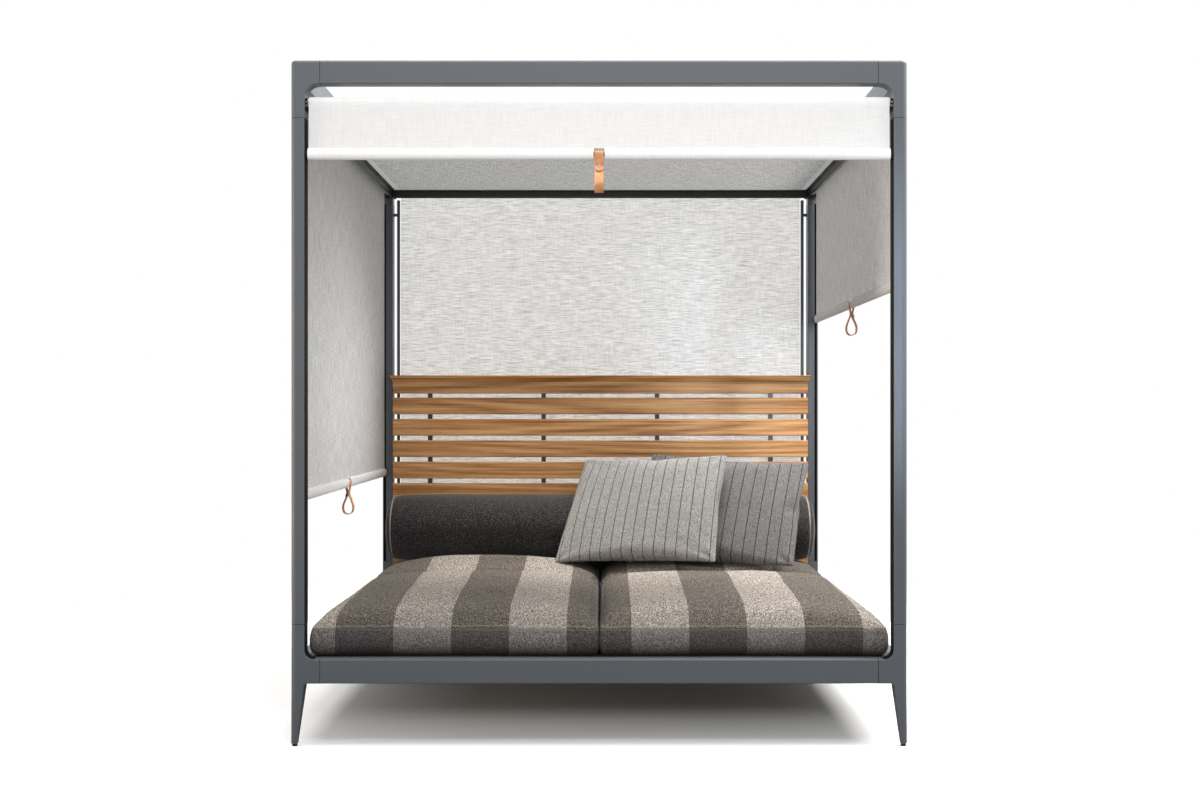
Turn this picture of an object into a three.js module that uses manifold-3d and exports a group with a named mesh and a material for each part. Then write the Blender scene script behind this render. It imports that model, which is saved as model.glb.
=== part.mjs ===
// Outdoor daybed with canopy, in millimetres: X to the right, Y to the back, Z up, floor at z 0.
// Four cast and tubular corners carry rails, a slatted deck, a teak headboard, a fabric roof
// and four roller blinds whose bars run in guide slots. Cushions, bolster and pillows lie on it.
import * as THREE from "three";
import { mergeVertices } from "three/addons/utils/BufferGeometryUtils.js";
import Module from "manifold-3d";

const wasm = await Module();
wasm.setup();

// Whole frame
const frame_width = 2000;
const frame_depth = 1660;
const frame_height = 2223;
const half_width = frame_width / 2;
const half_depth = frame_depth / 2;
const seam_gap = 0.3; // between parts that touch
const spigot_clearance = 0.5;
const cut_overrun = 5;

// Posts: square tube with one rounded outer edge and a guide slot in each inner face
const post_size = 46;
const post_outer_radius = 20;
const post_edge_radius = 2;
const post_bottom = 395;
const post_top_drop = 187;
const post_top = frame_height - post_top_drop;
const tube_wall = 3;
const slot_width = 7;
const slot_depth = 10;
const slot_inset = 10; // from the outer face to the blind's plane
const slot_wall = 2.5;

// Castings: arms that meet the rails, and the tapered legs under the bottom ones
const arm_length = 96;
const arm_depth = 40;
const arm_chamfer = 1.5;
const spigot_length = 30;
const spigot_root = 6;
const bottom_rail_low = 203;
const bottom_rail_high = 281; // the deck and the cushions start here
const rail_height = 78;
const top_rail_low = frame_height - rail_height;
const inner_radius_bottom = 0.6 * (arm_length - post_size);
const inner_radius_under = 12;
const inner_radius_top = 0.9 * (arm_length - post_size);
const top_edge_radius = 10;
const rail_edge_radius = 3;
const leg_bottom = 8;
const leg_size_top = 44;
const leg_size_bottom = 22;
const leg_joint = 191; // the leg's taper ends here
const glide_radius = 8.5;
const glide_inset = 12.5;
const casting_overlap = 12;

// Ledge on each bottom rail, and the slatted deck that lies on it
const deck_thickness = 18;
const ledge_reach = 16;
const ledge_thickness = 3;
const deck_slot_width = 40;
const deck_slot_pitch = 150;
const deck_slots_across = Math.floor((frame_width - 2 * arm_length) / deck_slot_pitch);
const deck_border = 100;
const deck_beam_width = 60;
const deck_slot_length = half_depth - deck_border - deck_beam_width / 2;

// Blind units: headrail cover with end plates, roller, fabric, hem bar and pull strap
const roller_drop = 131;
const roller_height = frame_height - roller_drop;
const roller_inset = 26.5;
const roller_radius = 16;
const roller_core_radius = 13;
const axle_radius = 4;
const axle_clearance = 0.3;
const plate_thickness = 3;
const plate_under = 30; // these four are measured from the roller's middle
const plate_over = 9;
const cover_under = 29;
const cover_over = 6;
const plate_bottom = roller_height - plate_under;
const plate_top = roller_height + plate_over;
const plate_corner_cut = 3;
const plate_front = 9;
const plate_radius = 8;
const cover_inset = 43;
const cover_thickness = 3;
const cover_bulge = 1.6;
const cover_bottom = roller_height - cover_under;
const cover_top = roller_height + cover_over;
const flange_inset = 58;
const flange_thickness = 3;
const front_flange_end = 12.5; // the front and rear flanges stop this far from the posts' faces
const sheet_thickness = 1;
const sleeve_height = 38;
const sleeve_thickness = 20;
const sleeve_edge_radius = 9;
const hem_cap_height = 40;
const hem_notch_width = 36;
const bar_radius = 8;
// how far the cloth, its hem, the hem's caps and the pins stop from the face that guides them
const post_guide = { cloth: -12, hem: -7, cap: -1, pin: 6, pin_radius: 2.5 };
const rod_guide = { cloth: -5, hem: -3.5, cap: -0.5, pin: 4, pin_radius: 2 };
// a bar's middle at its lowest and highest, with its pins still in the guide slots
const hem_low_stop = 24;
const hem_high_stop = 7;
const hem_lowest = post_bottom + hem_low_stop;
const hem_travel = post_top - hem_high_stop - hem_lowest;
const hem_raised_shares = { front: 0.9317, right: 0.6758, rear: 0, left: 0.2391 };

// Pull strap: a leather band round the bar, crossed at the screw, with a loop for the hand
const strap_width = 30;
const strap_thickness = 3;
const strap_bar_gap = 0.3;
const strap_crossing = 40; // these four are depths under the bar's middle
const strap_tab_top = 29;
const strap_tab_end = 58;
const strap_loop_end = 125;
const strap_loop_radius = 20.5;

// Guide rods of the rear blind, on spacers from the rear posts
const rod_inset = 73;
const rod_width = 12.5;
const rod_depth = 14;
const rod_back_inset = 3;
const rod_face = half_width - rod_inset;
const rod_outer = rod_face + rod_width;
const rod_depth_high = half_depth - rod_back_inset;
const rod_depth_low = rod_depth_high - rod_depth;
const rod_bottom = 288; // just over the casting's inner radius
const rod_top_drop = 165;
const rod_top = frame_height - rod_top_drop;
const rod_groove_width = 5;
const rod_groove_depth = 6;
const rod_spacer_size = 12;
const rod_spacer_inset = 46; // from the ends of the post
const rod_spacer_heights = [
  post_bottom + rod_spacer_inset,
  (post_bottom + post_top) / 2,
  post_top - rod_spacer_inset,
];

// Roof sheet
const roof_thickness = 1.5;
const roof_sag = 14;
const roof_clearance = 0.5;

// Headboard
const slat_thickness = 20;
const slat_back_inset = 44;
const slat_end_gap = 3;
const slat_back = half_depth - slat_back_inset;
const slat_front = slat_back - slat_thickness;
const slat_half_length = half_width - post_size - slat_end_gap;
const slat_height = 77;
const slat_pitch = 98;
const slat_edge_radius = 4;
const slat_count = 8; // below the one that is joined to the cap
const second_slat_top = 1146;
const first_slat_low = 1164;
const cap_low = 1216;
const cap_high = 1247;
const cap_overhang = 27;
const cap_tip = 10;
const cap_front = slat_front - cap_overhang;
const cap_nose_low = 1243;
const cap_half_length = slat_half_length + cap_tip;
const cap_edge_radius = 2;
const cap_notch_front = half_depth - post_size - 0.5;
const upright_width = 20;
const upright_depth = 17.7;
const upright_top = 1240;
const upright_inset = 217;
const upright_outer = half_width - upright_inset;
const upright_positions = [-1, -1 / 3, 1 / 3, 1].map((share) => upright_outer * share);

// Seat cushions: two side by side, each with one channel across
const cushion_gap = 6;
const cushion_side_inset = 50;
const cushion_front_inset = 42;
const cushion_back_gap = 1;
const cushion_outer = half_width - cushion_side_inset;
const cushion_front = cushion_front_inset - half_depth;
const cushion_back = slat_front - cushion_back_gap;
const cushion_edge_height = 92;
const cushion_crown = 60;
const cushion_belly = 9;
const cushion_side_reach = 32;
const cushion_end_reach = 45;
const cushion_bulge = 6;
const cushion_drawn_in = 7;
const channel_position = 0.636 * (cushion_back - cushion_front); // from the front edge
const channel_depth = 19;
const channel_half_width = 34;
const channel_side_pinch = 9;
// rows of the cushions' grid from front to back, closer together at the ends and the channel
const cushion_row_shares = [
  0, 0.0064, 0.0206, 0.049, 0.0966, 0.167, 0.245, 0.325, 0.406, 0.483, 0.544, 0.583, 0.6085,
  0.6246, 0.636, 0.6478, 0.664, 0.69, 0.728, 0.779, 0.831, 0.8822, 0.915, 0.948, 0.978,
  0.9936, 1,
];

// Bolster
const bolster_radius = 147;
const bolster_half_length = cushion_outer;
const bolster_rest_y = slat_front - 0.5;
const bolster_back_reach = 144; // from its axis to the slats, pressed in a little
const bolster_base_reach = 142;
const bolster_y = slat_front - bolster_back_reach;
const bolster_rest_z = 424;
const bolster_z = bolster_rest_z + bolster_base_reach;
const bolster_shoulder = 34;
const bolster_taper = 110;
const bolster_end_rise = 16;
const bolster_seam_rise = 4;
const bolster_sides = 30;
const nest_half_width = 55; // the cushion is pressed flat under the bolster
const nest_slope = 0.22;

// Pillows
const pillow_width = 690;
const pillow_height = 500;
const pillow_thickness = 112;
const pillow_seam = 6;
const pillow_drawn_in = 0.075;
const pillow_fullness = 0.42;
// where the middle of each lower edge is, and how it leans
const pale_pillow_x = 136;
const pale_pillow_before = 384.8;
const pale_pillow_lift = 31.7;
const pale_pillow_y = bolster_y - pale_pillow_before;
const pale_pillow_z = bolster_rest_z + pale_pillow_lift;
const dark_pillow_x = 452;
const dark_pillow_before = 363.3;
const dark_pillow_lift = 28.4;
const dark_pillow_y = bolster_y - dark_pillow_before;
const dark_pillow_z = bolster_rest_z + dark_pillow_lift;

// Finish names and colours
const finishes = {
  frame: [0x63676a, 0.45, 0.3],
  black_metal: [0x17181a, 0.5, 0.4],
  glass_fibre: [0xdedcd8, 0.9, 0],
  side_fibre: [0xa9a8a5, 0.9, 0],
  roof_fibre: [0x6f706e, 0.9, 0],
  strap: [0xc9854f, 0.55, 0],
  teak: [0xa86a3c, 0.65, 0],
  deck: [0x8a6a48, 0.7, 0],
  seat_fabric: [0x8d8579, 0.9, 0],
  bolster_fabric: [0x3a3634, 0.9, 0],
  pale_fabric: [0xb9b1a6, 0.9, 0],
  dark_fabric: [0x4a4541, 0.9, 0],
};

const group = new THREE.Group();
group.name = "outdoor_daybed_with_canopy";

// Solids from three.js geometry, and back
function solidOf(geometry) {
  geometry.deleteAttribute("normal");
  geometry.deleteAttribute("uv");
  const merged = mergeVertices(geometry, 1e-4);
  return new wasm.Manifold(
    new wasm.Mesh({
      numProp: 3,
      vertProperties: merged.attributes.position.array,
      triVerts: new Uint32Array(merged.index.array),
    }),
  );
}

function geometryOf(solid) {
  const mesh = solid.getMesh();
  const stride = mesh.numProp;
  const points = new Float32Array(mesh.numVert * 3);
  for (let i = 0; i < mesh.numVert; i++)
    points.set(mesh.vertProperties.subarray(i * stride, i * stride + 3), i * 3);
  const geometry = new THREE.BufferGeometry();
  geometry.setAttribute("position", new THREE.BufferAttribute(points, 3));
  geometry.setIndex(new THREE.BufferAttribute(mesh.triVerts, 1));
  geometry.computeVertexNormals();
  return geometry;
}

function addPiece(name, solid, finish) {
  const [color, roughness, metalness] = finishes[finish];
  const material = new THREE.MeshStandardMaterial({ color, roughness, metalness });
  const mesh = new THREE.Mesh(geometryOf(solid), material);
  mesh.name = name;
  group.add(mesh);
}

function fused(first, ...others) {
  return others.reduce((sum, other) => sum.add(other), first);
}

function cut(solid, ...tools) {
  return tools.reduce((rest, tool) => rest.subtract(tool), solid);
}

// An outline whose corners [x, y, radius] are rounded, inward or outward as they turn
function outlineOf(corners) {
  const points = [];
  corners.forEach(([x, y, radius = 0], i) => {
    const corner = new THREE.Vector2(x, y);
    if (!radius) return points.push(corner);
    const [px, py] = corners.at(i - 1);
    const [nx, ny] = corners[(i + 1) % corners.length];
    const toLast = new THREE.Vector2(px, py).sub(corner).normalize();
    const toNext = new THREE.Vector2(nx, ny).sub(corner).normalize();
    const half = Math.acos(toLast.dot(toNext)) / 2;
    const middle = toLast.clone().add(toNext).normalize();
    const centre = corner.clone().addScaledVector(middle, radius / Math.sin(half));
    const start = corner.clone().addScaledVector(toLast, radius / Math.tan(half)).sub(centre);
    const end = corner.clone().addScaledVector(toNext, radius / Math.tan(half)).sub(centre);
    const from = Math.atan2(start.y, start.x);
    let turn = Math.atan2(end.y, end.x) - from;
    if (turn > Math.PI) turn -= 2 * Math.PI;
    if (turn < -Math.PI) turn += 2 * Math.PI;
    const quarter_steps = Math.sqrt(radius) * 1.5;
    const steps = Math.max(2, Math.round((quarter_steps * Math.abs(turn)) / (Math.PI / 2)));
    for (let k = 0; k <= steps; k++) {
      const angle = from + (turn * k) / steps;
      points.push(
        new THREE.Vector2(
          centre.x + radius * Math.cos(angle),
          centre.y + radius * Math.sin(angle),
        ),
      );
    }
  });
  return points;
}

function rectangle(x0, x1, y0, y1, radius = 0) {
  return outlineOf([
    [x0, y0, radius],
    [x1, y0, radius],
    [x1, y1, radius],
    [x0, y1, radius],
  ]);
}

function circle(x, y, radius, sides) {
  return Array.from({ length: sides }, (_, i) => {
    const angle = (2 * Math.PI * (i + 0.5)) / sides;
    return new THREE.Vector2(x + radius * Math.cos(angle), y + radius * Math.sin(angle));
  });
}

// Extrusions: an outline in (y, z) along X, in (x, z) along Y, or in (x, y) along Z
const axes = {
  x: new THREE.Matrix4().set(0, 0, 1, 0, 1, 0, 0, 0, 0, 1, 0, 0, 0, 0, 0, 1),
  y: new THREE.Matrix4().set(1, 0, 0, 0, 0, 0, 1, 0, 0, 1, 0, 0, 0, 0, 0, 1),
  z: new THREE.Matrix4(),
};

function extruded(axis, outline, from, to, { holes = [], chamfer = 0 } = {}) {
  const shape = new THREE.Shape(outline);
  shape.holes = holes.map((hole) => new THREE.Path(hole));
  const geometry = new THREE.ExtrudeGeometry(shape, {
    depth: to - from - 2 * chamfer,
    bevelEnabled: chamfer > 0,
    bevelThickness: chamfer,
    bevelSize: chamfer,
    bevelOffset: -chamfer,
    bevelSegments: 1,
  });
  geometry.translate(0, 0, from + chamfer);
  return solidOf(geometry).transform(axes[axis].elements);
}

function block(x0, x1, y0, y1, z0, z1) {
  return extruded("z", rectangle(x0, x1, y0, y1), z0, z1);
}

// A skin over rings of points, each ring as long as the others, with flat ends
function lofted(rings) {
  const count = rings[0].length;
  const positions = rings.flat().flatMap((p) => [p.x, p.y, p.z]);
  const faces = [];
  rings.slice(1).forEach((_, k) => {
    for (let i = 0; i < count; i++) {
      const a = k * count + i;
      const b = k * count + ((i + 1) % count);
      faces.push(a, b, b + count, a, b + count, a + count);
    }
  });
  const last = (rings.length - 1) * count;
  for (let i = 1; i < count - 1; i++) faces.push(0, i + 1, i, last, last + i, last + i + 1);
  const geometry = new THREE.BufferGeometry();
  geometry.setAttribute("position", new THREE.Float32BufferAttribute(positions, 3));
  geometry.setIndex(faces);
  return solidOf(geometry);
}

// A corner is drawn by its insets from the two outer faces, then set at each of the four
const corners = [
  ["front_left", -1, -1],
  ["front_right", 1, -1],
  ["rear_left", -1, 1],
  ["rear_right", 1, 1],
];

function atCorner(solid, sx, sy) {
  const place = new THREE.Matrix4().set(
    -sx, 0, 0, sx * half_width,
    0, -sy, 0, sy * half_depth,
    0, 0, 1, 0,
    0, 0, 0, 1,
  );
  return solid.transform(place.elements);
}

// A side is drawn by its length and by its inset from the outer face
const sides = {
  front: { turn: 0, reach: half_depth, opening: half_width - post_size },
  right: { turn: 1, reach: half_width, opening: half_depth - post_size },
  rear: { turn: 2, reach: half_depth, opening: half_width - post_size },
  left: { turn: 3, reach: half_width, opening: half_depth - post_size },
};
Object.entries(sides).forEach(([name, side]) => {
  side.hem_height = hem_lowest + Math.round(hem_travel * hem_raised_shares[name]);
});

function atSide(solid, { turn, reach }) {
  const place = new THREE.Matrix4()
    .makeRotationZ((turn * Math.PI) / 2)
    .multiply(new THREE.Matrix4().makeTranslation(0, -reach, 0));
  // whole quarter turns, so the small remainders are rounded off
  place.elements = place.elements.map((e) => Math.round(e * 1e6) / 1e6);
  return solid.transform(place.elements);
}

// Posts
function postOutline() {
  const slot_low = slot_inset - slot_width / 2;
  const slot_high = slot_inset + slot_width / 2;
  const slot_floor = post_size - slot_depth;
  const edge = post_edge_radius;
  return outlineOf([
    [0, 0, post_outer_radius],
    [post_size, 0, edge],
    [post_size, slot_low],
    [slot_floor, slot_low],
    [slot_floor, slot_high],
    [post_size, slot_high],
    [post_size, post_size, edge],
    [slot_high, post_size],
    [slot_high, slot_floor],
    [slot_low, slot_floor],
    [slot_low, post_size],
    [0, post_size, edge],
  ]);
}

const slot_back = post_size - slot_depth - slot_wall;
const slot_flank = slot_inset + slot_width / 2 + slot_wall;

function postBore() {
  const wall = tube_wall;
  return outlineOf([
    [wall, wall, post_outer_radius - wall],
    [slot_back, wall],
    [slot_back, slot_flank],
    [post_size - wall, slot_flank],
    [post_size - wall, post_size - wall],
    [slot_flank, post_size - wall],
    [slot_flank, slot_back],
    [wall, slot_back],
  ]);
}

function guideRod() {
  const groove_middle = (rod_depth_low + rod_depth_high) / 2;
  const rod = cut(
    block(rod_face, rod_outer, rod_depth_low, rod_depth_high, rod_bottom, rod_top),
    block(
      rod_face - cut_overrun,
      rod_face + rod_groove_depth,
      groove_middle - rod_groove_width / 2,
      groove_middle + rod_groove_width / 2,
      rod_bottom - cut_overrun,
      rod_top + cut_overrun,
    ),
  );
  const half = rod_spacer_size / 2;
  const spacers = rod_spacer_heights.map((height) =>
    block(
      rod_outer - 1,
      half_width - post_size + 1,
      groove_middle - half,
      groove_middle + half,
      height - half,
      height + half,
    ),
  );
  return fused(rod, ...spacers);
}

corners.forEach(([corner, sx, sy]) => {
  const tube = extruded("z", postOutline(), post_bottom + seam_gap, post_top - seam_gap, {
    holes: [postBore()],
  });
  let post = atCorner(tube, sx, sy);
  if (sy > 0) {
    const mirror = new THREE.Matrix4().makeScale(sx, 1, 1);
    post = fused(post, guideRod().transform(mirror.elements));
  }
  addPiece("post_" + corner, post, "frame");
});

// Castings: both arms are one outline, turned over the corner's diagonal
function overDiagonal(solid) {
  const swap = new THREE.Matrix4().set(0, 1, 0, 0, 1, 0, 0, 0, 0, 0, 1, 0, 0, 0, 0, 1);
  return fused(solid, solid.transform(swap.elements));
}

function postSpigot(low, high) {
  const from = slot_flank + spigot_clearance;
  const to = post_size - tube_wall - spigot_clearance;
  return block(from, to, from, to, low, high);
}

function railSpigot(low, high) {
  const inset = tube_wall + spigot_clearance;
  return block(
    arm_length - spigot_root,
    arm_length + spigot_length,
    inset,
    arm_depth - inset,
    low + inset,
    high - inset,
  );
}

function bottomCasting() {
  const arm = extruded(
    "y",
    outlineOf([
      [0, leg_joint - 1],
      [leg_size_top, leg_joint - 1],
      [leg_size_top, bottom_rail_low, inner_radius_under],
      [arm_length, bottom_rail_low],
      [arm_length, bottom_rail_high],
      [post_size, bottom_rail_high, inner_radius_bottom],
      [post_size, bottom_rail_high + inner_radius_bottom + casting_overlap],
      [0, bottom_rail_high + inner_radius_bottom + casting_overlap],
    ]),
    0,
    arm_depth,
    { chamfer: arm_chamfer },
  );
  const legRing = (size, height) =>
    outlineOf([
      [0, 0, Math.min(post_outer_radius, size - 2 * rail_edge_radius)],
      [size, 0, rail_edge_radius],
      [size, size, rail_edge_radius],
      [0, size, rail_edge_radius],
    ]).map((p) => new THREE.Vector3(p.x, p.y, height));
  const stub = extruded(
    "z",
    rectangle(0, post_size, 0, post_size, post_edge_radius),
    bottom_rail_low,
    post_bottom,
  );
  const rounding = extruded(
    "z",
    outlineOf([
      [0, 0, post_outer_radius],
      [frame_width, 0],
      [frame_width, frame_width],
      [0, frame_width],
    ]),
    leg_bottom - cut_overrun,
    post_bottom + spigot_length + cut_overrun,
  );
  const leg = lofted([
    legRing(leg_size_bottom, leg_bottom),
    legRing(leg_size_top, leg_joint),
    legRing(leg_size_top, bottom_rail_low + casting_overlap),
  ]);
  const glide = extruded("z", circle(glide_inset, glide_inset, glide_radius, 14), 0, leg_bottom + 1);
  const body = fused(overDiagonal(arm), stub).intersect(rounding);
  return fused(
    body,
    leg,
    glide,
    postSpigot(post_bottom - spigot_root, post_bottom + spigot_length),
    overDiagonal(railSpigot(bottom_rail_low, bottom_rail_high)),
  );
}

// The outer top edge of the frame: the rounding turns the corner with the vertical one
function domeOver(low, high) {
  const steps = 4;
  const ring = (inset, height) =>
    outlineOf([
      [inset, inset, post_outer_radius - inset],
      [frame_width, inset],
      [frame_width, frame_width],
      [inset, frame_width],
    ]).map((p) => new THREE.Vector3(p.x, p.y, height));
  // every ring takes the first one's number of points
  const base = ring(0, low);
  const rings = [base];
  for (let k = 0; k <= steps; k++) {
    const angle = (Math.PI / 2) * (k / steps);
    const inset = top_edge_radius * (1 - Math.cos(angle));
    const height = high - top_edge_radius * (1 - Math.sin(angle));
    const corner = post_outer_radius;
    rings.push(
      base.map(({ x, y }) => {
        const shrink = (corner - inset) / corner;
        const move = (v) => (v > corner ? v : corner + (v - corner) * shrink);
        return new THREE.Vector3(move(x), move(y), height);
      }),
    );
  }
  return lofted(rings);
}

function topCasting() {
  const arm = extruded(
    "y",
    outlineOf([
      [0, top_rail_low - inner_radius_top - casting_overlap],
      [post_size, top_rail_low - inner_radius_top - casting_overlap],
      [post_size, top_rail_low, inner_radius_top],
      [arm_length, top_rail_low],
      [arm_length, frame_height],
      [0, frame_height],
    ]),
    0,
    arm_depth,
    { chamfer: arm_chamfer },
  );
  const stub = extruded(
    "z",
    rectangle(0, post_size, 0, post_size, post_edge_radius),
    post_top,
    frame_height,
  );
  const body = fused(overDiagonal(arm), stub).intersect(
    domeOver(post_top - cut_overrun, frame_height),
  );
  return fused(
    body,
    postSpigot(post_top - spigot_length, post_top + spigot_root),
    overDiagonal(railSpigot(top_rail_low, frame_height)),
  );
}

const bottom_casting = bottomCasting();
const top_casting = topCasting();
corners.forEach(([corner, sx, sy]) => {
  addPiece("leg_" + corner, atCorner(bottom_casting, sx, sy), "frame");
  addPiece("top_corner_" + corner, atCorner(top_casting, sx, sy), "frame");
});

// Rails
const ledge_top = bottom_rail_high - deck_thickness - seam_gap;

function bottomRailOutline() {
  const edge = rail_edge_radius;
  return outlineOf([
    [0, bottom_rail_low, edge],
    [arm_depth, bottom_rail_low, edge],
    [arm_depth, ledge_top - ledge_thickness],
    [arm_depth + ledge_reach, ledge_top - ledge_thickness],
    [arm_depth + ledge_reach, ledge_top],
    [arm_depth, ledge_top],
    [arm_depth, bottom_rail_high, edge],
    [0, bottom_rail_high, edge],
  ]);
}

function topRailOutline() {
  return outlineOf([
    [0, top_rail_low, rail_edge_radius],
    [arm_depth, top_rail_low, rail_edge_radius],
    [arm_depth, frame_height, rail_edge_radius],
    [0, frame_height, top_edge_radius],
  ]);
}

Object.entries(sides).forEach(([name, side]) => {
  const across = name === "front" || name === "rear" ? half_width : half_depth;
  const half = across - arm_length - seam_gap;
  const bore = (low, high) => [
    rectangle(tube_wall, arm_depth - tube_wall, low + tube_wall, high - tube_wall, 1),
  ];
  const bottom = extruded("x", bottomRailOutline(), -half, half, {
    holes: bore(bottom_rail_low, bottom_rail_high),
  });
  // the top bore keeps clear of the big outer radius
  const top = extruded("x", topRailOutline(), -half, half, {
    holes: bore(top_rail_low, frame_height),
  });
  addPiece("bottom_rail_" + name, atSide(bottom, side), "frame");
  addPiece("top_rail_" + name, atSide(top, side), "frame");
});

// Deck: slotted panel with corners cut out round the posts
function seatDeck() {
  const half_x = half_width - arm_depth - seam_gap;
  const half_y = half_depth - arm_depth - seam_gap;
  const notch_x = half_width - post_size - seam_gap;
  const notch_y = half_depth - post_size - seam_gap;
  const outline = [
    [-notch_x, -half_y], [notch_x, -half_y], [notch_x, -notch_y], [half_x, -notch_y],
    [half_x, notch_y], [notch_x, notch_y], [notch_x, half_y], [-notch_x, half_y],
    [-notch_x, notch_y], [-half_x, notch_y], [-half_x, -notch_y], [-notch_x, -notch_y],
  ].map(([x, y]) => new THREE.Vector2(x, y));
  const low = bottom_rail_high - deck_thickness;
  const slots = [];
  for (let i = 0; i < deck_slots_across; i++) {
    const x = (i - (deck_slots_across - 1) / 2) * deck_slot_pitch;
    const y = deck_beam_width / 2;
    const half = deck_slot_width / 2;
    const [under, over] = [low - cut_overrun, bottom_rail_high + cut_overrun];
    slots.push(block(x - half, x + half, y, y + deck_slot_length, under, over));
    slots.push(block(x - half, x + half, -y - deck_slot_length, -y, under, over));
  }
  return cut(extruded("z", outline, low, bottom_rail_high), ...slots);
}

addPiece("seat_deck", seatDeck(), "deck");

// Blind units
function headrail(side, is_side) {
  const end = side.opening - seam_gap;
  const back = cover_inset + cover_thickness;
  const middle = (cover_bottom + cover_top) / 2;
  const cover = extruded(
    "x",
    [
      [cover_inset, cover_bottom],
      [back - cover_bulge, cover_bottom],
      [back, middle - (cover_top - cover_bottom) / 4],
      [back, cover_top],
      [cover_inset, cover_top],
    ].map(([t, z]) => new THREE.Vector2(t, z)),
    -end,
    end,
  );
  const flange_end = is_side ? end : side.opening - front_flange_end;
  const flange = extruded(
    "x",
    rectangle(back - 1, flange_inset, cover_top - flange_thickness, cover_top),
    -flange_end,
    flange_end,
  );
  const plate = extruded(
    "x",
    outlineOf([
      [plate_front, plate_bottom, plate_radius],
      [back, plate_bottom],
      [back, plate_top - plate_corner_cut],
      [back - plate_corner_cut, plate_top],
      [plate_front, plate_top, plate_radius],
    ]),
    end - plate_thickness,
    end,
    { holes: [circle(roller_inset, roller_height, axle_radius + axle_clearance, 10)] },
  );
  const mirror = new THREE.Matrix4().makeScale(-1, 1, 1);
  return fused(cover, flange, plate, plate.transform(mirror.elements));
}

function roller(side, sheet_half) {
  const shoulder = side.opening - seam_gap - plate_thickness - 1;
  const tip = side.opening - 1;
  const profile = [
    [0, -tip], [axle_radius, -tip], [axle_radius, -shoulder],
    [roller_core_radius, -shoulder], [roller_core_radius, -sheet_half],
    [roller_radius, -sheet_half], [roller_radius, sheet_half],
    [roller_core_radius, sheet_half], [roller_core_radius, shoulder],
    [axle_radius, shoulder], [axle_radius, tip], [0, tip],
  ].map(([r, s]) => new THREE.Vector2(r, s));
  const lathe = new THREE.LatheGeometry(profile, 16);
  lathe.rotateZ(-Math.PI / 2);
  lathe.translate(0, roller_inset, roller_height);
  return solidOf(lathe);
}

function hemBar(side, ends) {
  const { sleeve, cap, pin, pin_radius } = ends;
  const z = side.hem_height;
  const oval = (thickness, height) =>
    rectangle(
      slot_inset - thickness / 2,
      slot_inset + thickness / 2,
      z - height / 2,
      z + height / 2,
      sleeve_edge_radius,
    );
  const half_notch = hem_notch_width / 2;
  const fabric = cut(
    extruded("x", oval(sleeve_thickness, sleeve_height), -sleeve, sleeve),
    block(
      -half_notch,
      half_notch,
      slot_inset - sleeve_thickness,
      slot_inset + sleeve_thickness,
      z - sleeve_height,
      z + sleeve_height,
    ),
  );
  const bar = extruded(
    "x",
    circle(slot_inset, z, bar_radius, 12),
    -half_notch - cut_overrun,
    half_notch + cut_overrun,
  );
  const endCap = (direction) => {
    const from = direction * (sleeve - 1);
    const cap_to = direction * cap;
    const pin_to = direction * pin;
    const span = (a, b) => [Math.min(a, b), Math.max(a, b)];
    return fused(
      extruded("x", oval(sleeve_thickness, hem_cap_height), ...span(from, cap_to)),
      extruded("x", circle(slot_inset, z, pin_radius, 8), ...span(from, pin_to)),
    );
  };
  return fused(fabric, bar, endCap(-1), endCap(1));
}

// A drop-shaped ring in the (inset, z) plane: a circle, and two tangents that meet at the tip
function dropOutline(z_centre, radius, z_tip) {
  const distance = z_tip - z_centre;
  const spread = Math.acos(radius / Math.abs(distance));
  const toward = Math.sign(distance) * (Math.PI / 2);
  const steps = 11;
  const points = [new THREE.Vector2(slot_inset, z_tip)];
  for (let k = 0; k <= steps; k++) {
    const angle = toward + spread + ((2 * Math.PI - 2 * spread) * k) / steps;
    points.push(
      new THREE.Vector2(
        slot_inset + radius * Math.cos(angle),
        z_centre + radius * Math.sin(angle),
      ),
    );
  }
  return points;
}

function pullStrap(side) {
  const half = strap_width / 2;
  const z = side.hem_height;
  const inner = bar_radius + strap_bar_gap;
  const crossing = z - strap_crossing;
  const ring = (z_centre, radius_in, tip_in, tip_out) =>
    extruded("x", dropOutline(z_centre, radius_in + strap_thickness, tip_out), -half, half, {
      holes: [dropOutline(z_centre, radius_in, tip_in)],
    });
  const upper = ring(z, inner, crossing + strap_thickness * 2, crossing - strap_thickness);
  const loop_centre = z - strap_loop_end + strap_loop_radius + strap_thickness / 2;
  const loop_in = strap_loop_radius - strap_thickness / 2;
  const lower = ring(loop_centre, loop_in, crossing - strap_thickness, crossing + strap_thickness * 2);
  const tab = extruded(
    "x",
    [
      [slot_inset - 4, z - strap_tab_top],
      [slot_inset, z - strap_tab_top],
      [slot_inset, crossing],
      [slot_inset - 7, z - strap_tab_end],
      [slot_inset - 11, z - strap_tab_end],
      [slot_inset - 5, crossing],
    ].map(([t, h]) => new THREE.Vector2(t, h)),
    -half,
    half,
  );
  return fused(upper, lower, tab);
}

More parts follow.
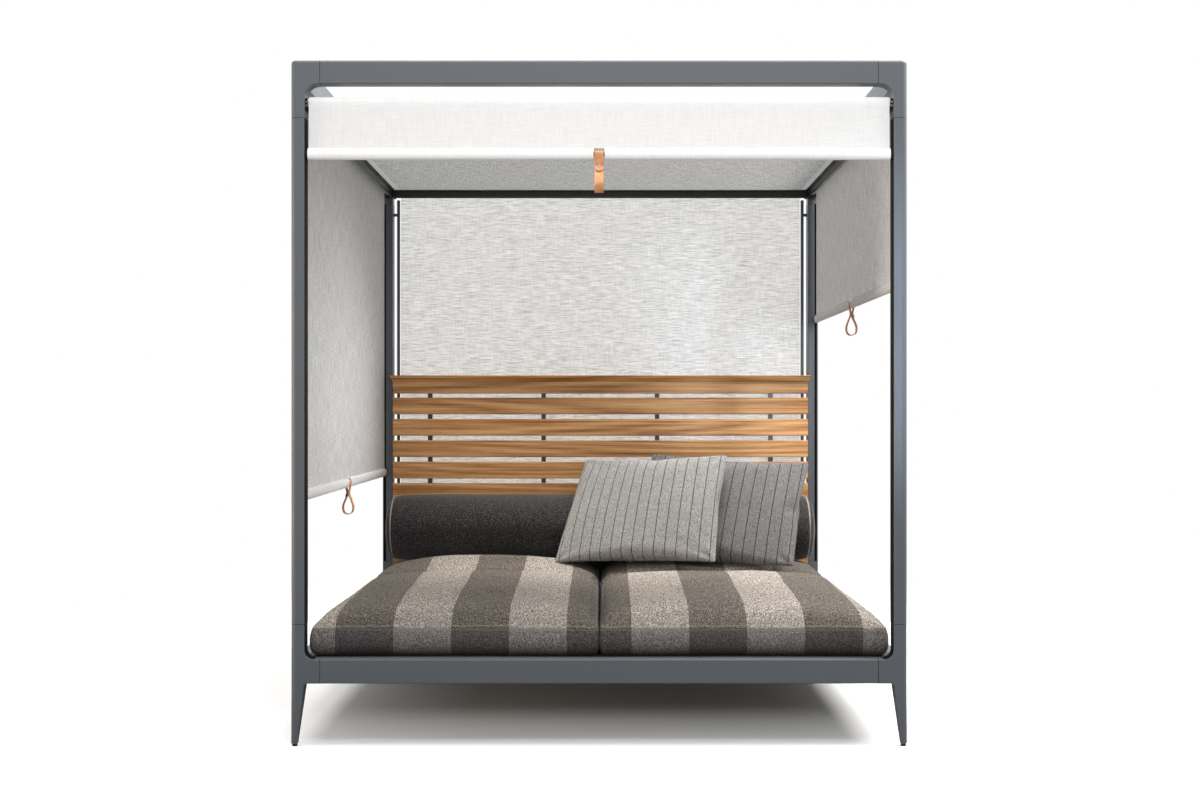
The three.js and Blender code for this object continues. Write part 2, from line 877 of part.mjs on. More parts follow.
Object.entries(sides).forEach(([name, side]) => {
  const is_side = name === "left" || name === "right";
  const in_rods = name === "rear";
  const face = in_rods ? rod_face : side.opening;
  const guide = in_rods ? rod_guide : post_guide;
  const sheet_half = face + guide.cloth;
  const ends = {
    sleeve: face + guide.hem,
    cap: face + guide.cap,
    pin: face + guide.pin,
    pin_radius: guide.pin_radius,
  };
  const sheet = block(
    -sheet_half,
    sheet_half,
    roller_inset - roller_radius - seam_gap - sheet_thickness,
    roller_inset - roller_radius - seam_gap,
    side.hem_height + sleeve_height / 2 + seam_gap,
    roller_height,
  );
  const screen = is_side ? "side_fibre" : "glass_fibre";
  addPiece("headrail_" + name, atSide(headrail(side, is_side), side), "black_metal");
  addPiece("roller_" + name, atSide(roller(side, sheet_half), side), "black_metal");
  addPiece("blind_fabric_" + name, atSide(sheet, side), screen);
  addPiece("hem_bar_" + name, atSide(hemBar(side, ends), side), screen);
  addPiece("pull_strap_" + name, atSide(pullStrap(side), side), "strap");
});

// Headboard
function boardOutline(low, high) {
  return rectangle(slat_front, slat_back, low, high, slat_edge_radius);
}

function headboardCap() {
  const slat = extruded(
    "x",
    boardOutline(first_slat_low, cap_low + casting_overlap),
    -slat_half_length,
    slat_half_length,
  );
  const nosing = extruded(
    "x",
    outlineOf([
      [slat_front, cap_low],
      [slat_back, cap_low],
      [slat_back, cap_high, cap_edge_radius],
      [cap_front, cap_high, cap_edge_radius],
      [cap_front, cap_nose_low, 1],
    ]),
    -cap_half_length,
    cap_half_length,
  );
  const ends = extruded(
    "y",
    outlineOf([
      [-slat_half_length, cap_low],
      [slat_half_length, cap_low],
      [cap_half_length, cap_nose_low],
      [cap_half_length, cap_high],
      [-cap_half_length, cap_high],
      [-cap_half_length, cap_nose_low],
    ]),
    cap_front - cut_overrun,
    slat_back + cut_overrun,
  );
  const notch = (x0, x1) =>
    block(
      x0,
      x1,
      cap_notch_front,
      slat_back + cut_overrun,
      cap_low - cut_overrun,
      cap_high + cut_overrun,
    );
  const beyond = cap_half_length + cut_overrun;
  return fused(
    cut(
      nosing.intersect(ends),
      notch(slat_half_length, beyond),
      notch(-beyond, -slat_half_length),
    ),
    slat,
  );
}

addPiece("headboard_cap", headboardCap(), "teak");
for (let i = 0; i < slat_count; i++) {
  const high = second_slat_top - i * slat_pitch;
  const slat = extruded(
    "x",
    boardOutline(high - slat_height, high),
    -slat_half_length,
    slat_half_length,
  );
  addPiece("headboard_slat_" + (i + 2), slat, "teak");
}
upright_positions.forEach((x, i) => {
  const upright = block(
    x - upright_width / 2,
    x + upright_width / 2,
    slat_back + seam_gap,
    slat_back + seam_gap + upright_depth,
    bottom_rail_high + seam_gap,
    upright_top,
  );
  addPiece("headboard_upright_" + (i + 1), upright, "black_metal");
});

// Soft pieces: a box of many faces, each point moved by shares of its place in the box
function softBox(columns, rows, layers, place) {
  const box = new THREE.BoxGeometry(2, 2, 2, columns, rows, layers);
  const points = box.attributes.position;
  for (let i = 0; i < points.count; i++) {
    const { x, y, z } = place(points.getX(i), points.getY(i), points.getZ(i));
    points.setXYZ(i, x, y, z);
  }
  return solidOf(box);
}

// Crowds the columns of a grid toward its two edges
function edge_crowding_share(p) {
  return 0.42 * p + 0.58 * Math.sin((p * Math.PI) / 2);
}

const roof_x = half_width - post_size - roof_clearance;
const roof_y = half_depth - post_size - roof_clearance;

function roofSheet() {
  const flange_share = 0.985; // the sheet lies flat on the flanges, then sags
  const spread = (p) => Math.sign(p) * Math.min(1, Math.abs(p) * 1.18) ** 0.9;
  return softBox(14, 12, 1, (p, q, w) => {
    const u = spread(p);
    const v = spread(q);
    const inner = (share) => Math.max(0, 1 - (share / flange_share) ** 2);
    const edge = Math.abs(p) === 1 || Math.abs(q) === 1;
    const across = Math.abs(u) >= 1 && !(Math.abs(p) === 1) ? Math.sign(p) * flange_share : u;
    const along = Math.abs(v) >= 1 && !(Math.abs(q) === 1) ? Math.sign(q) * flange_share : v;
    const sag = edge ? 0 : roof_sag * Math.sqrt(inner(Math.abs(across)) * inner(Math.abs(along)));
    const height = cover_top + seam_gap + (w > 0 ? roof_thickness : 0) - sag;
    return { x: across * roof_x, y: along * roof_y, z: height };
  });
}

addPiece("roof_canopy", roofSheet(), "roof_fibre");

// Height of a cushion's top over its base
function cushion_rise(from_side, from_other_side, from_front, from_back, from_channel) {
  const across = 1 - Math.exp(-Math.min(from_side, from_other_side) / cushion_side_reach);
  const along = 1 - Math.exp(-Math.min(from_front, from_back) / cushion_end_reach);
  const width = from_side + from_other_side;
  const length = from_front + from_back;
  const middle = (16 * from_side * from_other_side * from_front * from_back) / (width * length) ** 2;
  const dip = channel_depth * Math.exp(-((from_channel / channel_half_width) ** 2));
  return cushion_edge_height + cushion_crown * across * along + cushion_belly * middle - dip;
}

function seatCushion(direction) {
  const base = bottom_rail_high + 2 * seam_gap;
  const width = cushion_outer - cushion_gap / 2;
  const length = cushion_back - cushion_front;
  return softBox(16, cushion_row_shares.length - 1, 3, (p, q, w) => {
    const share = edge_crowding_share(p);
    const row = Math.round(((q + 1) / 2) * (cushion_row_shares.length - 1));
    const from_front = length * cushion_row_shares[row];
    const from_side = ((share + 1) / 2) * width;
    const from_back = length - from_front;
    const from_channel = from_front - channel_position;
    const pinch = Math.exp(-((from_channel / channel_half_width) ** 2));
    const level = (w + 1) / 2;
    const bulge = cushion_bulge * 4 * level * (1 - level);
    const mid_length = 4 * (from_front / length) * (from_back / length);
    const mid_width = 1 - share * share;
    // the sides are drawn in toward their middles, and at the channel's ends
    const side_inset =
      cushion_bulge - bulge + cushion_drawn_in * mid_length + channel_side_pinch * pinch * level;
    const end_inset = cushion_bulge - bulge + cushion_drawn_in * mid_width;
    const x = share * (width / 2 - side_inset);
    const centre = (length / 2 - end_inset) / (length / 2);
    const y = (cushion_front + cushion_back) / 2 + (from_front - length / 2) * centre;
    let top = cushion_rise(from_side, width - from_side, from_front, from_back, from_channel);
    const from_bolster = Math.abs(y - bolster_y);
    const nest = Math.max(0, from_bolster - nest_half_width) * nest_slope;
    top = Math.min(top, bolster_rest_z - seam_gap - base + nest);
    // the lower layers stay level, and only the top one follows the crown
    const layer = w > 0.9 ? top : level * cushion_edge_height;
    return { x: direction * (cushion_gap / 2 + width / 2) + x, y, z: base + layer };
  });
}

addPiece("seat_cushion_left", seatCushion(-1), "seat_fabric");
addPiece("seat_cushion_right", seatCushion(1), "seat_fabric");

function bolsterSolid() {
  const end_steps = 4;
  const profile = [new THREE.Vector2(0, -bolster_half_length)];
  for (let k = 1; k <= end_steps; k++) {
    const share = k / end_steps;
    const rise = bolster_end_rise * share * share;
    profile.push(new THREE.Vector2(bolster_radius * 0.94 * share, -bolster_half_length + rise));
  }
  profile.push(
    new THREE.Vector2(bolster_radius * 0.985, -bolster_half_length + bolster_end_rise * 1.25),
  );
  profile.push(
    new THREE.Vector2(
      bolster_radius - bolster_seam_rise,
      -bolster_half_length + bolster_shoulder,
    ),
  );
  profile.push(new THREE.Vector2(bolster_radius, -bolster_half_length + bolster_taper));
  profile.push(new THREE.Vector2(bolster_radius, -bolster_half_length / 3));
  const mirrored = profile.map((p) => new THREE.Vector2(p.x, -p.y)).reverse();
  const lathe = new THREE.LatheGeometry([...profile, ...mirrored], bolster_sides);
  lathe.rotateZ(-Math.PI / 2);
  lathe.translate(0, bolster_y, bolster_z);
  const points = lathe.attributes.position;
  for (let i = 0; i < points.count; i++) {
    points.setY(i, Math.min(points.getY(i), bolster_rest_y));
    points.setZ(i, Math.max(points.getZ(i), bolster_rest_z));
  }
  return solidOf(lathe);
}

addPiece("bolster", bolsterSolid(), "bolster_fabric");

// Pillows stand on their long edges and lean back on the bolster
function pillowSolid({ x, y, z, lean, yaw, roll }) {
  const place = new THREE.Matrix4()
    .makeTranslation(x, y, z)
    .multiply(new THREE.Matrix4().makeRotationZ(THREE.MathUtils.degToRad(yaw)))
    .multiply(new THREE.Matrix4().makeRotationX(THREE.MathUtils.degToRad(90 - lean)))
    .multiply(new THREE.Matrix4().makeRotationZ(THREE.MathUtils.degToRad(roll)));
  return softBox(14, 10, 2, (p, q, w) => {
    const u = edge_crowding_share(p);
    const v = edge_crowding_share(q);
    const full = ((1 - u * u) * (1 - v * v)) ** pillow_fullness;
    const half = pillow_seam / 2 + (pillow_thickness / 2 - pillow_seam / 2) * full;
    const across = (pillow_width / 2) * u * (1 - pillow_drawn_in * (1 - v * v) * u * u);
    const along = (pillow_height / 2) * v * (1 - pillow_drawn_in * (1 - u * u) * v * v);
    return new THREE.Vector3(across, along + pillow_height / 2, w * half).applyMatrix4(place);
  });
}

addPiece(
  "pillow_pale",
  pillowSolid({
    x: pale_pillow_x,
    y: pale_pillow_y,
    z: pale_pillow_z,
    lean: 33,
    yaw: -22,
    roll: 3.2,
  }),
  "pale_fabric",
);
addPiece(
  "pillow_dark",
  pillowSolid({
    x: dark_pillow_x,
    y: dark_pillow_y,
    z: dark_pillow_z,
    lean: 33,
    yaw: -18,
    roll: -3,
  }),
  "dark_fabric",
);

export default group;
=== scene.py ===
from collections import namedtuple
from math import copysign, cos, pi, radians, sin, sqrt

import bmesh
import bpy
import numpy as np
from mathutils import Matrix, Vector


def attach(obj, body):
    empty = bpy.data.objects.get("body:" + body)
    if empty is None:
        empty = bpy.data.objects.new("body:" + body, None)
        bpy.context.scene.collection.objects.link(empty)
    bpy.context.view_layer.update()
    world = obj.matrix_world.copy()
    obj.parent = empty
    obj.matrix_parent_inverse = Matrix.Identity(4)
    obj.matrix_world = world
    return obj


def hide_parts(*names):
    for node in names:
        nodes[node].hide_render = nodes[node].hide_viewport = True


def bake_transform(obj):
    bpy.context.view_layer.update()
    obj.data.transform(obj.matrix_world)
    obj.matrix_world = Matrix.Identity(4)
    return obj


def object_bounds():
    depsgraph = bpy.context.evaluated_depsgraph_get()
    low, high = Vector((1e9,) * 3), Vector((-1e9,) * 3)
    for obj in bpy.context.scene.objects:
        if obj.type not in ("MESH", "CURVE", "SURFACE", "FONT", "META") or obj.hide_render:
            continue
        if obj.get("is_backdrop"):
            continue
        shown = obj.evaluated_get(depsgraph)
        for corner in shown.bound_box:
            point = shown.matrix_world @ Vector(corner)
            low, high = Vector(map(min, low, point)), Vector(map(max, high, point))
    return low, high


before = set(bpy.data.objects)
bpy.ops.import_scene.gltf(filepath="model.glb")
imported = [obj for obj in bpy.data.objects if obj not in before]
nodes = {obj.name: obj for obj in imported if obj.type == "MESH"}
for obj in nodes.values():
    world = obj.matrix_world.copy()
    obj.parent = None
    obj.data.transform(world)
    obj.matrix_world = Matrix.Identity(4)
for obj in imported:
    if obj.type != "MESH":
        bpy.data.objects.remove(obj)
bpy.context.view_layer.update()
scene = bpy.context.scene


# Frame: four square posts on cast legs, tied by rails and cast corners at top and bottom.
# Aluminium with a satin powder coat in dark blue-grey, slightly paler where it thins along an
# edge. The castings' spigots stand in the tubes; each joint's shadow gap is painted shade on the
# coat.
def new_material(name):
    material = bpy.data.materials.new(name)
    material.use_nodes = True
    return material, material.node_tree, material.node_tree.nodes["Principled BSDF"]


def paint(obj, material):
    obj.data.materials.clear()
    obj.data.materials.append(material)


def paint_nodes(starts, material):
    for name, node in nodes.items():
        if name.startswith(starts):
            paint(node, material)


def feed(tree, socket, value):
    """Links a socket to another, or sets it to a constant; None leaves it as it is."""
    if isinstance(value, bpy.types.NodeSocket):
        tree.links.new(value, socket)
    elif value is not None:
        socket.default_value = value


def new_node(tree, kind, **given):
    """A shader node, its inputs fed by name; a name's low line stands for a space."""
    node = tree.nodes.new("ShaderNode" + kind)
    for label, value in given.items():
        feed(tree, node.inputs[label.replace("_", " ")], value)
    return node


def maths(tree, operation, *values):
    """A Math node fed by numbers or by sockets; returns its output socket."""
    node = new_node(tree, "Math")
    node.operation = operation
    for socket, value in zip(node.inputs, values):
        feed(tree, socket, value)
    return node.outputs[0]


def mixed(tree, factor, a, b):
    """A colour mix; factor, a and b are sockets or constants. Returns the result socket."""
    node = new_node(tree, "Mix")
    node.data_type = "RGBA"
    for label, value in (("Factor", factor), ("A", a), ("B", b)):
        feed(tree, node.inputs[label], value)
    return node.outputs["Result"]


def ranged(tree, value, from_min, from_max, to_min=0.0, to_max=1.0):
    """A value mapped from one range to another, kept inside it; returns the output socket."""
    return new_node(
        tree, "MapRange", Value=value, From_Min=from_min, From_Max=from_max, To_Min=to_min,
        To_Max=to_max,
    ).outputs[0]


def object_place(tree):
    """The Object coordinates, from the one node that a material's textures share."""
    node = tree.nodes.get("Texture Coordinate") or new_node(tree, "TexCoord")
    return node.outputs["Object"]


def object_axes(tree):
    """X, Y and Z of the Object coordinates, as three sockets."""
    split = new_node(tree, "SeparateXYZ", Vector=object_place(tree))
    return split.outputs["X"], split.outputs["Y"], split.outputs["Z"]


def noise(tree, scale, detail=2, roughness=0.5, own=None):
    """Noise by Object coordinates. Three scales stretch it, and own gives each board its own."""
    place = object_place(tree)
    if isinstance(scale, tuple):
        place, scale = new_node(tree, "Mapping", Vector=place, Scale=scale).outputs[0], 1
    texture = new_node(
        tree, "TexNoise", Vector=place, Scale=scale, Detail=detail, Roughness=roughness
    )
    if own:
        texture.noise_dimensions = "4D"
        tree.links.new(own, texture.inputs["W"])
    return texture.outputs["Fac"]


def surfaced(tree, shader, color, roughness, specular=None):
    """The shader's colour, roughness and specular level, each a socket or a constant."""
    feed(tree, shader.inputs["Base Color"], color)
    feed(tree, shader.inputs["Roughness"], roughness)
    feed(tree, shader.inputs["Specular IOR Level"], specular)


def bumped(tree, shader, height, distance, strength=None, normal=None):
    """A fine relief on the shader; distance is what a height of 1 stands for, in metres."""
    bump = new_node(
        tree, "Bump", Strength=strength, Distance=distance, Height=height, Normal=normal
    )
    tree.links.new(bump.outputs["Normal"], shader.inputs["Normal"])


def new_group(name, inputs, outputs):
    """An empty shader node group: inputs and outputs are (name, kind) pairs."""
    group = bpy.data.node_groups.new(name, "ShaderNodeTree")
    for way, sockets in (("INPUT", inputs), ("OUTPUT", outputs)):
        for label, kind in sockets:
            group.interface.new_socket(name=label, in_out=way, socket_type="NodeSocket" + kind)
    return group, group.nodes.new("NodeGroupInput"), group.nodes.new("NodeGroupOutput")


# Effect: a coated edge. Gives a normal rounded by Radius and a mask of the sharp edges.
SHARP_FROM, SHARP_TO = 0.99, 0.80
coat_edge, group_in, group_out = new_group(
    "coat_edge", [("Radius", "Float")], [("Normal", "Vector"), ("Edge", "Float")]
)
edge_bevel = new_node(coat_edge, "Bevel", Radius=group_in.outputs["Radius"])
edge_bevel.samples = 4
edge_shape = new_node(coat_edge, "NewGeometry")
edge_turn = new_node(coat_edge, "VectorMath")
edge_turn.operation = "DOT_PRODUCT"
coat_edge.links.new(edge_bevel.outputs[0], edge_turn.inputs[0])
coat_edge.links.new(edge_shape.outputs["Normal"], edge_turn.inputs[1])
edge_mask = ranged(coat_edge, edge_turn.outputs["Value"], SHARP_FROM, SHARP_TO)
coat_edge.links.new(edge_bevel.outputs[0], group_out.inputs["Normal"])
coat_edge.links.new(edge_mask, group_out.inputs["Edge"])


def rounded(tree, radius):
    """The normal and the mask that the coated edge gives."""
    edges = new_node(tree, "Group")
    edges.node_tree = coat_edge
    feed(tree, edges.inputs["Radius"], radius)
    return edges.outputs["Normal"], edges.outputs["Edge"]


WORN, CLOUD_SCALE = 0.35, 6


def coated(
    name, color, edge_color, roughness, radius, grain_size=0.0011, grain_height=0.00004,
    specular=None,
):
    """A powder coat: an even colour, a fine orange-peel grain and slightly worn edges."""
    material, tree, shader = new_material(name)
    normal, edge = rounded(tree, radius)
    worn = mixed(tree, maths(tree, "MULTIPLY", edge, WORN), color, edge_color)
    cloud = noise(tree, CLOUD_SCALE, 3)
    shine = ranged(tree, cloud, 0.3, 0.7, roughness - 0.04, roughness + 0.05)
    surfaced(tree, shader, worn, shine, specular)
    bumped(tree, shader, noise(tree, 1 / grain_size, 1), grain_height, normal=normal)
    return material


# painted shade: a dark line on the coat where each casting ends, standing for its shadow gap,
# and the black glide under each foot, which is its own colour
CASTING_X, CASTING_Y, CASTING_LOW, CASTING_HIGH, SEAM_HALF = 0.904, 0.734, 0.3951, 2.0359, 0.0009
GLIDE_HIGH, GLIDE_BLACK_AND_GAP_SHADE = 0.0078, (0.008, 0.008, 0.009, 1)
frame_coat = coated(
    "frame_powder_coat", (0.107, 0.118, 0.132, 1), (0.17, 0.185, 0.20, 1), 0.46, 0.0022,
    specular=0.22,
)
tree = frame_coat.node_tree
base = tree.nodes["Principled BSDF"].inputs["Base Color"]
x, y, z = object_axes(tree)
black = maths(tree, "LESS_THAN", z, GLIDE_HIGH)
for spot, at in (
    (maths(tree, "ABSOLUTE", x), CASTING_X), (maths(tree, "ABSOLUTE", y), CASTING_Y),
    (z, CASTING_LOW), (z, CASTING_HIGH),
):
    black = maths(tree, "MAXIMUM", black, maths(tree, "COMPARE", spot, at, SEAM_HALF))
tree.links.new(mixed(tree, black, base.links[0].from_socket, GLIDE_BLACK_AND_GAP_SHADE), base)
paint_nodes(("post_", "leg_", "top_corner_", "bottom_rail_", "top_rail_"), frame_coat)


# Guides: extruded channels of black plastic, pressed into the posts' slots from rail to rail.
# On the front posts wide wings cover the whole inner face and bend into the leg's hollow, their
# black partly standing in for the shade on these faces; on the rear posts the channel is slim.
# The pins of the hem bars run in them.
def finish_piece(name, bm, material, body=None, sharp=35):
    """A named object from a bmesh: outward normals, soft shading but for sharp turns."""
    bmesh.ops.recalc_face_normals(bm, faces=list(bm.faces))
    mesh = bpy.data.meshes.new(name)
    bm.to_mesh(mesh)
    bm.free()
    mesh.shade_smooth()
    mesh.set_sharp_from_angle(angle=radians(sharp))
    obj = bpy.data.objects.new(name, mesh)
    scene.collection.objects.link(obj)
    paint(obj, material)
    if body:
        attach(obj, body)
    return obj


def extruded(bm, outline, way):
    """Adds a closed outline of points as a face and extrudes it along a vector."""
    face = bm.faces.new([bm.verts.new(point) for point in outline])
    made = bmesh.ops.extrude_face_region(bm, geom=[face])["geom"]
    bmesh.ops.translate(bm, vec=way, verts=[v for v in made if isinstance(v, bmesh.types.BMVert)])


POST, SLOT_IN, SLOT_DEEP, SLOT_HALF = 0.046, 0.010, 0.010, 0.0035
POST_LOW, POST_HIGH = 0.3954, 2.0356
HALF_X, HALF_Y = 1.000, 0.830
LINING, WING, CLEAR = 0.0005, 0.0008, 0.0001
FRONT_WINGS, REAR_WINGS = (0.0045, 0.0310), (0.0015, 0.0015)
RAIL_TOP, LEG_BEND, BEND_STEPS, WING_FROM, WING_TO = 0.281, 0.030, 8, 0.002, 0.0390
guide_plastic = coated(
    "guide_plastic", (0.010, 0.010, 0.011, 1), (0.03, 0.03, 0.03, 1), 0.6, 0.0006,
    grain_size=0.0006, grain_height=0.00002, specular=0.05,
)


def guide_outline(wing_out, wing_in):
    """Half-open channel seen from above: (distance from the outer face, depth into the post)."""
    low, high = SLOT_IN - SLOT_HALF, SLOT_IN + SLOT_HALF
    return [
        (low - wing_out, -WING), (low + LINING, -WING), (low + LINING, SLOT_DEEP - LINING),
        (high - LINING, SLOT_DEEP - LINING), (high - LINING, -WING), (high + wing_in, -WING),
        (high + wing_in, -CLEAR), (high - CLEAR, -CLEAR), (high - CLEAR, SLOT_DEEP - CLEAR),
        (low + CLEAR, SLOT_DEEP - CLEAR), (low + CLEAR, -CLEAR), (low - wing_out, -CLEAR),
    ]


# the wings' bend, as (distance from the outer face, height), down the post and into the hollow
bend = [(POST, POST_LOW), (POST, RAIL_TOP + LEG_BEND)]
for i in range(1, BEND_STEPS + 1):
    angle = i / BEND_STEPS * pi / 2
    bend.append((
        POST + LEG_BEND * (1 - cos(angle)), RAIL_TOP + LEG_BEND * (1 - sin(angle))
    ))
wing = [(t + CLEAR, z + CLEAR) for t, z in bend] + [
    (t + WING, z + WING) for t, z in reversed(bend)
]
for corner, sx, sy in (
    ("front_left", -1, -1), ("front_right", 1, -1), ("rear_left", -1, 1), ("rear_right", 1, 1)
):
    bm = bmesh.new()
    channel = guide_outline(*(FRONT_WINGS if sy < 0 else REAR_WINGS))
    height = Vector((0, 0, POST_HIGH - POST_LOW))
    extruded(bm, [
        (sx * (HALF_X - POST + d), sy * (HALF_Y - t), POST_LOW) for t, d in channel
    ], height)
    extruded(bm, [
        (sx * (HALF_X - t), sy * (HALF_Y - POST + d), POST_LOW) for t, d in channel
    ], height)
    if sy < 0:
        extruded(bm, [
            (sx * (HALF_X - t), sy * (HALF_Y - WING_FROM), z) for t, z in wing
        ], Vector((0, -sy * (WING_TO - WING_FROM), 0)))
        extruded(bm, [
            (sx * (HALF_X - WING_FROM), sy * (HALF_Y - t), z) for t, z in wing
        ], Vector((-sx * (WING_TO - WING_FROM), 0, 0)))
    finish_piece("guide_" + corner, bm, guide_plastic, "daybed")


# Deck: boards laid on the ledges of the bottom rails, that carry the cushions. They are seen only
# from below and through gaps, and their near-black colour is painted shade for the dark there.
def ramped(tree, value, stops):
    """A colour ramp through (position, colour) stops; returns its colour socket."""
    node = new_node(tree, "ValToRGB")
    elements = node.color_ramp.elements
    while len(elements) > 1:
        elements.remove(elements[-1])
    elements[0].position, elements[0].color = stops[0]
    for position, color in stops[1:]:
        elements.new(position).color = color
    tree.links.new(value, node.inputs[0])
    return node.outputs[0]


deck_shade_dark, tree, shader = new_material("deck_boards")
# near-black tones: painted shade, as under the cushions
tones = ramped(tree, noise(tree, (90, 3, 90), 4), [
    (0.3, (0.020, 0.015, 0.012, 1)), (0.7, (0.050, 0.038, 0.030, 1))
])
surfaced(tree, shader, tones, 0.7)
paint(nodes["seat_deck"], deck_shade_dark)

# Headboard: slats of oiled teak screwed to four black uprights behind them, with a cap rail.
# Each board has its own figure, long straight grain with a few cathedral arches, and its tone.
SLAT_PITCH, BOARD_STEP, RING_COUNT = 0.098, 7.31, 26
RING_SHARE, STREAK_SHARE, PORE_SHARE = 0.13, 0.78, 0.22
TONE_DARKEST, TONE_LIGHTEST = 0.80, 1.08
teak, tree, shader = new_material("oiled_teak")
high = object_axes(tree)[2]
board = maths(tree, "FLOOR", maths(tree, "MULTIPLY_ADD", high, 1 / SLAT_PITCH, 0.4))
own = maths(tree, "MULTIPLY", board, BOARD_STEP)
slow = noise(tree, (0.35, 6, 6), 1, own=own)
streaks = noise(tree, (1.3, 95, 95), 7, 0.72, own)
pores = noise(tree, (14, 620, 620), 3, 0.6, own)
rings = maths(tree, "PINGPONG", maths(tree, "MULTIPLY_ADD", slow, RING_COUNT, own), 1.0)
figure = maths(tree, "MULTIPLY", streaks, STREAK_SHARE)
figure = maths(tree, "MULTIPLY_ADD", rings, RING_SHARE, figure)
figure = maths(tree, "MULTIPLY_ADD", pores, PORE_SHARE, figure)
tones = ramped(tree, figure, [
    (0.38, (0.180, 0.064, 0.015, 1)), (0.50, (0.460, 0.200, 0.062, 1)),
    (0.60, (0.690, 0.350, 0.130, 1)), (0.74, (0.860, 0.520, 0.240, 1)),
])
board_tone = new_node(tree, "TexWhiteNoise")
board_tone.noise_dimensions = "1D"
tree.links.new(board, board_tone.inputs["W"])
own_tone = ranged(tree, board_tone.outputs["Value"], 0, 1, TONE_DARKEST, TONE_LIGHTEST)
toned = new_node(tree, "HueSaturation", Color=tones, Value=own_tone)
surfaced(tree, shader, toned.outputs[0], 0.5, 0.35)
bumped(tree, shader, pores, 0.0005, 0.3, rounded(tree, 0.002)[0])
black_coat = coated(
    "black_powder_coat", (0.012, 0.012, 0.013, 1), (0.035, 0.035, 0.037, 1), 0.36, 0.0012
)
paint_nodes(("headboard_slat_", "headboard_cap"), teak)
paint_nodes("headboard_upright_", black_coat)

# Spacers: small washers of black plastic, one at each end of the cap rail, that centre it
# between the rear posts.
SPACER_Y, SPACER_Z, SPACER_R = 0.7765, 1.178, 0.008
CAP_END, POST_FACE = 0.9512, 0.9536
bm = bmesh.new()
for side in (-1, 1):
    bmesh.ops.create_cone(
        bm, cap_ends=True, segments=24, radius1=SPACER_R, radius2=SPACER_R,
        depth=POST_FACE - CAP_END,
        matrix=Matrix.Translation((side * (CAP_END + POST_FACE) / 2, SPACER_Y, SPACER_Z))
        @ Matrix.Rotation(pi / 2, 4, "Y"),
    )
finish_piece("cap_spacers", bm, guide_plastic, "daybed")

# Headrails: rolled covers over the rollers, with an end plate at each end that carries the
# roller, held to the post by two steel screws. Satin black; the cover's face is slightly round.
paint_nodes("headrail_", black_coat)

# Places along a side of the frame: s runs along it, inset is the distance in from its outer
# face. The blinds hang in the plane SLOT_IN from it; hem is the bar's height at rest, and the
# rest are half lengths of the sheet, of its sleeve, over the caps and over the pins.
Side = namedtuple("Side", "along out reach hem half sleeve cap pin")
sides = {
    label: Side(Vector(along), Vector(out), *rest)
    for label, along, out, *rest in (
        ("front", (1, 0, 0), (0, -1, 0), HALF_Y, 1.919, 0.942, 0.9445, 0.953, 0.960),
        ("rear", (-1, 0, 0), (0, 1, 0), HALF_Y, 0.419, 0.922, 0.9235, 0.9265, 0.931),
        ("left", (0, -1, 0), (-1, 0, 0), HALF_X, 0.804, 0.772, 0.7745, 0.783, 0.790),
        ("right", (0, 1, 0), (1, 0, 0), HALF_X, 1.507, 0.772, 0.7745, 0.783, 0.790),
    )
}


def on_side(side, s, inset, z):
    return side.along * s + side.out * (side.reach - inset) + Vector((0, 0, z))


screw_steel, tree, shader = new_material("screw_steel")
shader.inputs["Metallic"].default_value = 1.0
smudged = ranged(tree, noise(tree, 300), 0, 1, 0.18, 0.42)
surfaced(tree, shader, (0.20, 0.20, 0.205, 1), smudged)


def slotted_head(bm, place, facing, radius, height, slot):
    """A screw head on place: a base disc and, above it, two halves with the slot between."""
    turn = facing.to_track_quat("Z", "Y").to_matrix().to_4x4()
    at = Matrix.Translation(place) @ turn
    floor_high = height * 0.45
    bmesh.ops.create_cone(
        bm, cap_ends=True, segments=28, radius1=radius, radius2=radius * 0.985, depth=floor_high,
        matrix=at @ Matrix.Translation((0, 0, floor_high / 2)),
    )
    for half in (0, pi):
        cap = bmesh.new()
        bmesh.ops.create_cone(
            cap, cap_ends=True, segments=28, radius1=radius, radius2=radius * 0.8,
            depth=height - floor_high,
            matrix=Matrix.Translation((0, 0, (height + floor_high) / 2 + 1e-5)),
        )
        cut = bmesh.ops.bisect_plane(
            cap, geom=list(cap.verts) + list(cap.edges) + list(cap.faces),
            plane_co=(slot / 2, 0, 0), plane_no=(-1, 0, 0), clear_outer=True,
        )["geom_cut"]
        bmesh.ops.contextual_create(cap, geom=[e for e in cut if isinstance(e, bmesh.types.BMEdge)])
        bmesh.ops.transform(cap, matrix=at @ Matrix.Rotation(half, 4, "Z"), verts=list(cap.verts))
        carried = bpy.data.meshes.new("half")
        cap.to_mesh(carried)
        cap.free()
        bm.from_mesh(carried)
        bpy.data.meshes.remove(carried)


FLANGE_IN, FLANGE_OUT, FLANGE_WIDE, FLANGE_SOFT = 0.0078, 0.0091, 0.0090, 0.0003
FLANGE_LOW, FLANGE_TALL = 2.0640, 0.0360
SCREW_HEIGHTS, SCREW_INSET, PAST_CAP = (2.0765, 2.0885), 0.0046, 0.0006
BRACKET_SCREW = (0.0030, 0.0018, 0.0009)
flanges, screws = bmesh.new(), bmesh.new()
for label, side in sides.items():
    post = POST_FACE if label == "rear" else side.cap + PAST_CAP
    outline = [
        (post - FLANGE_WIDE, FLANGE_IN), (post, FLANGE_IN), (post, FLANGE_OUT),
        (post - FLANGE_WIDE, FLANGE_OUT),
    ]
    for end in (-1, 1):
        for z in SCREW_HEIGHTS:
            place = on_side(side, end * (post - SCREW_INSET), FLANGE_IN, z)
            slotted_head(screws, place, side.out, *BRACKET_SCREW)
        extruded(
            flanges, [on_side(side, end * s, t, FLANGE_LOW) for s, t in outline],
            Vector((0, 0, FLANGE_TALL)),
        )
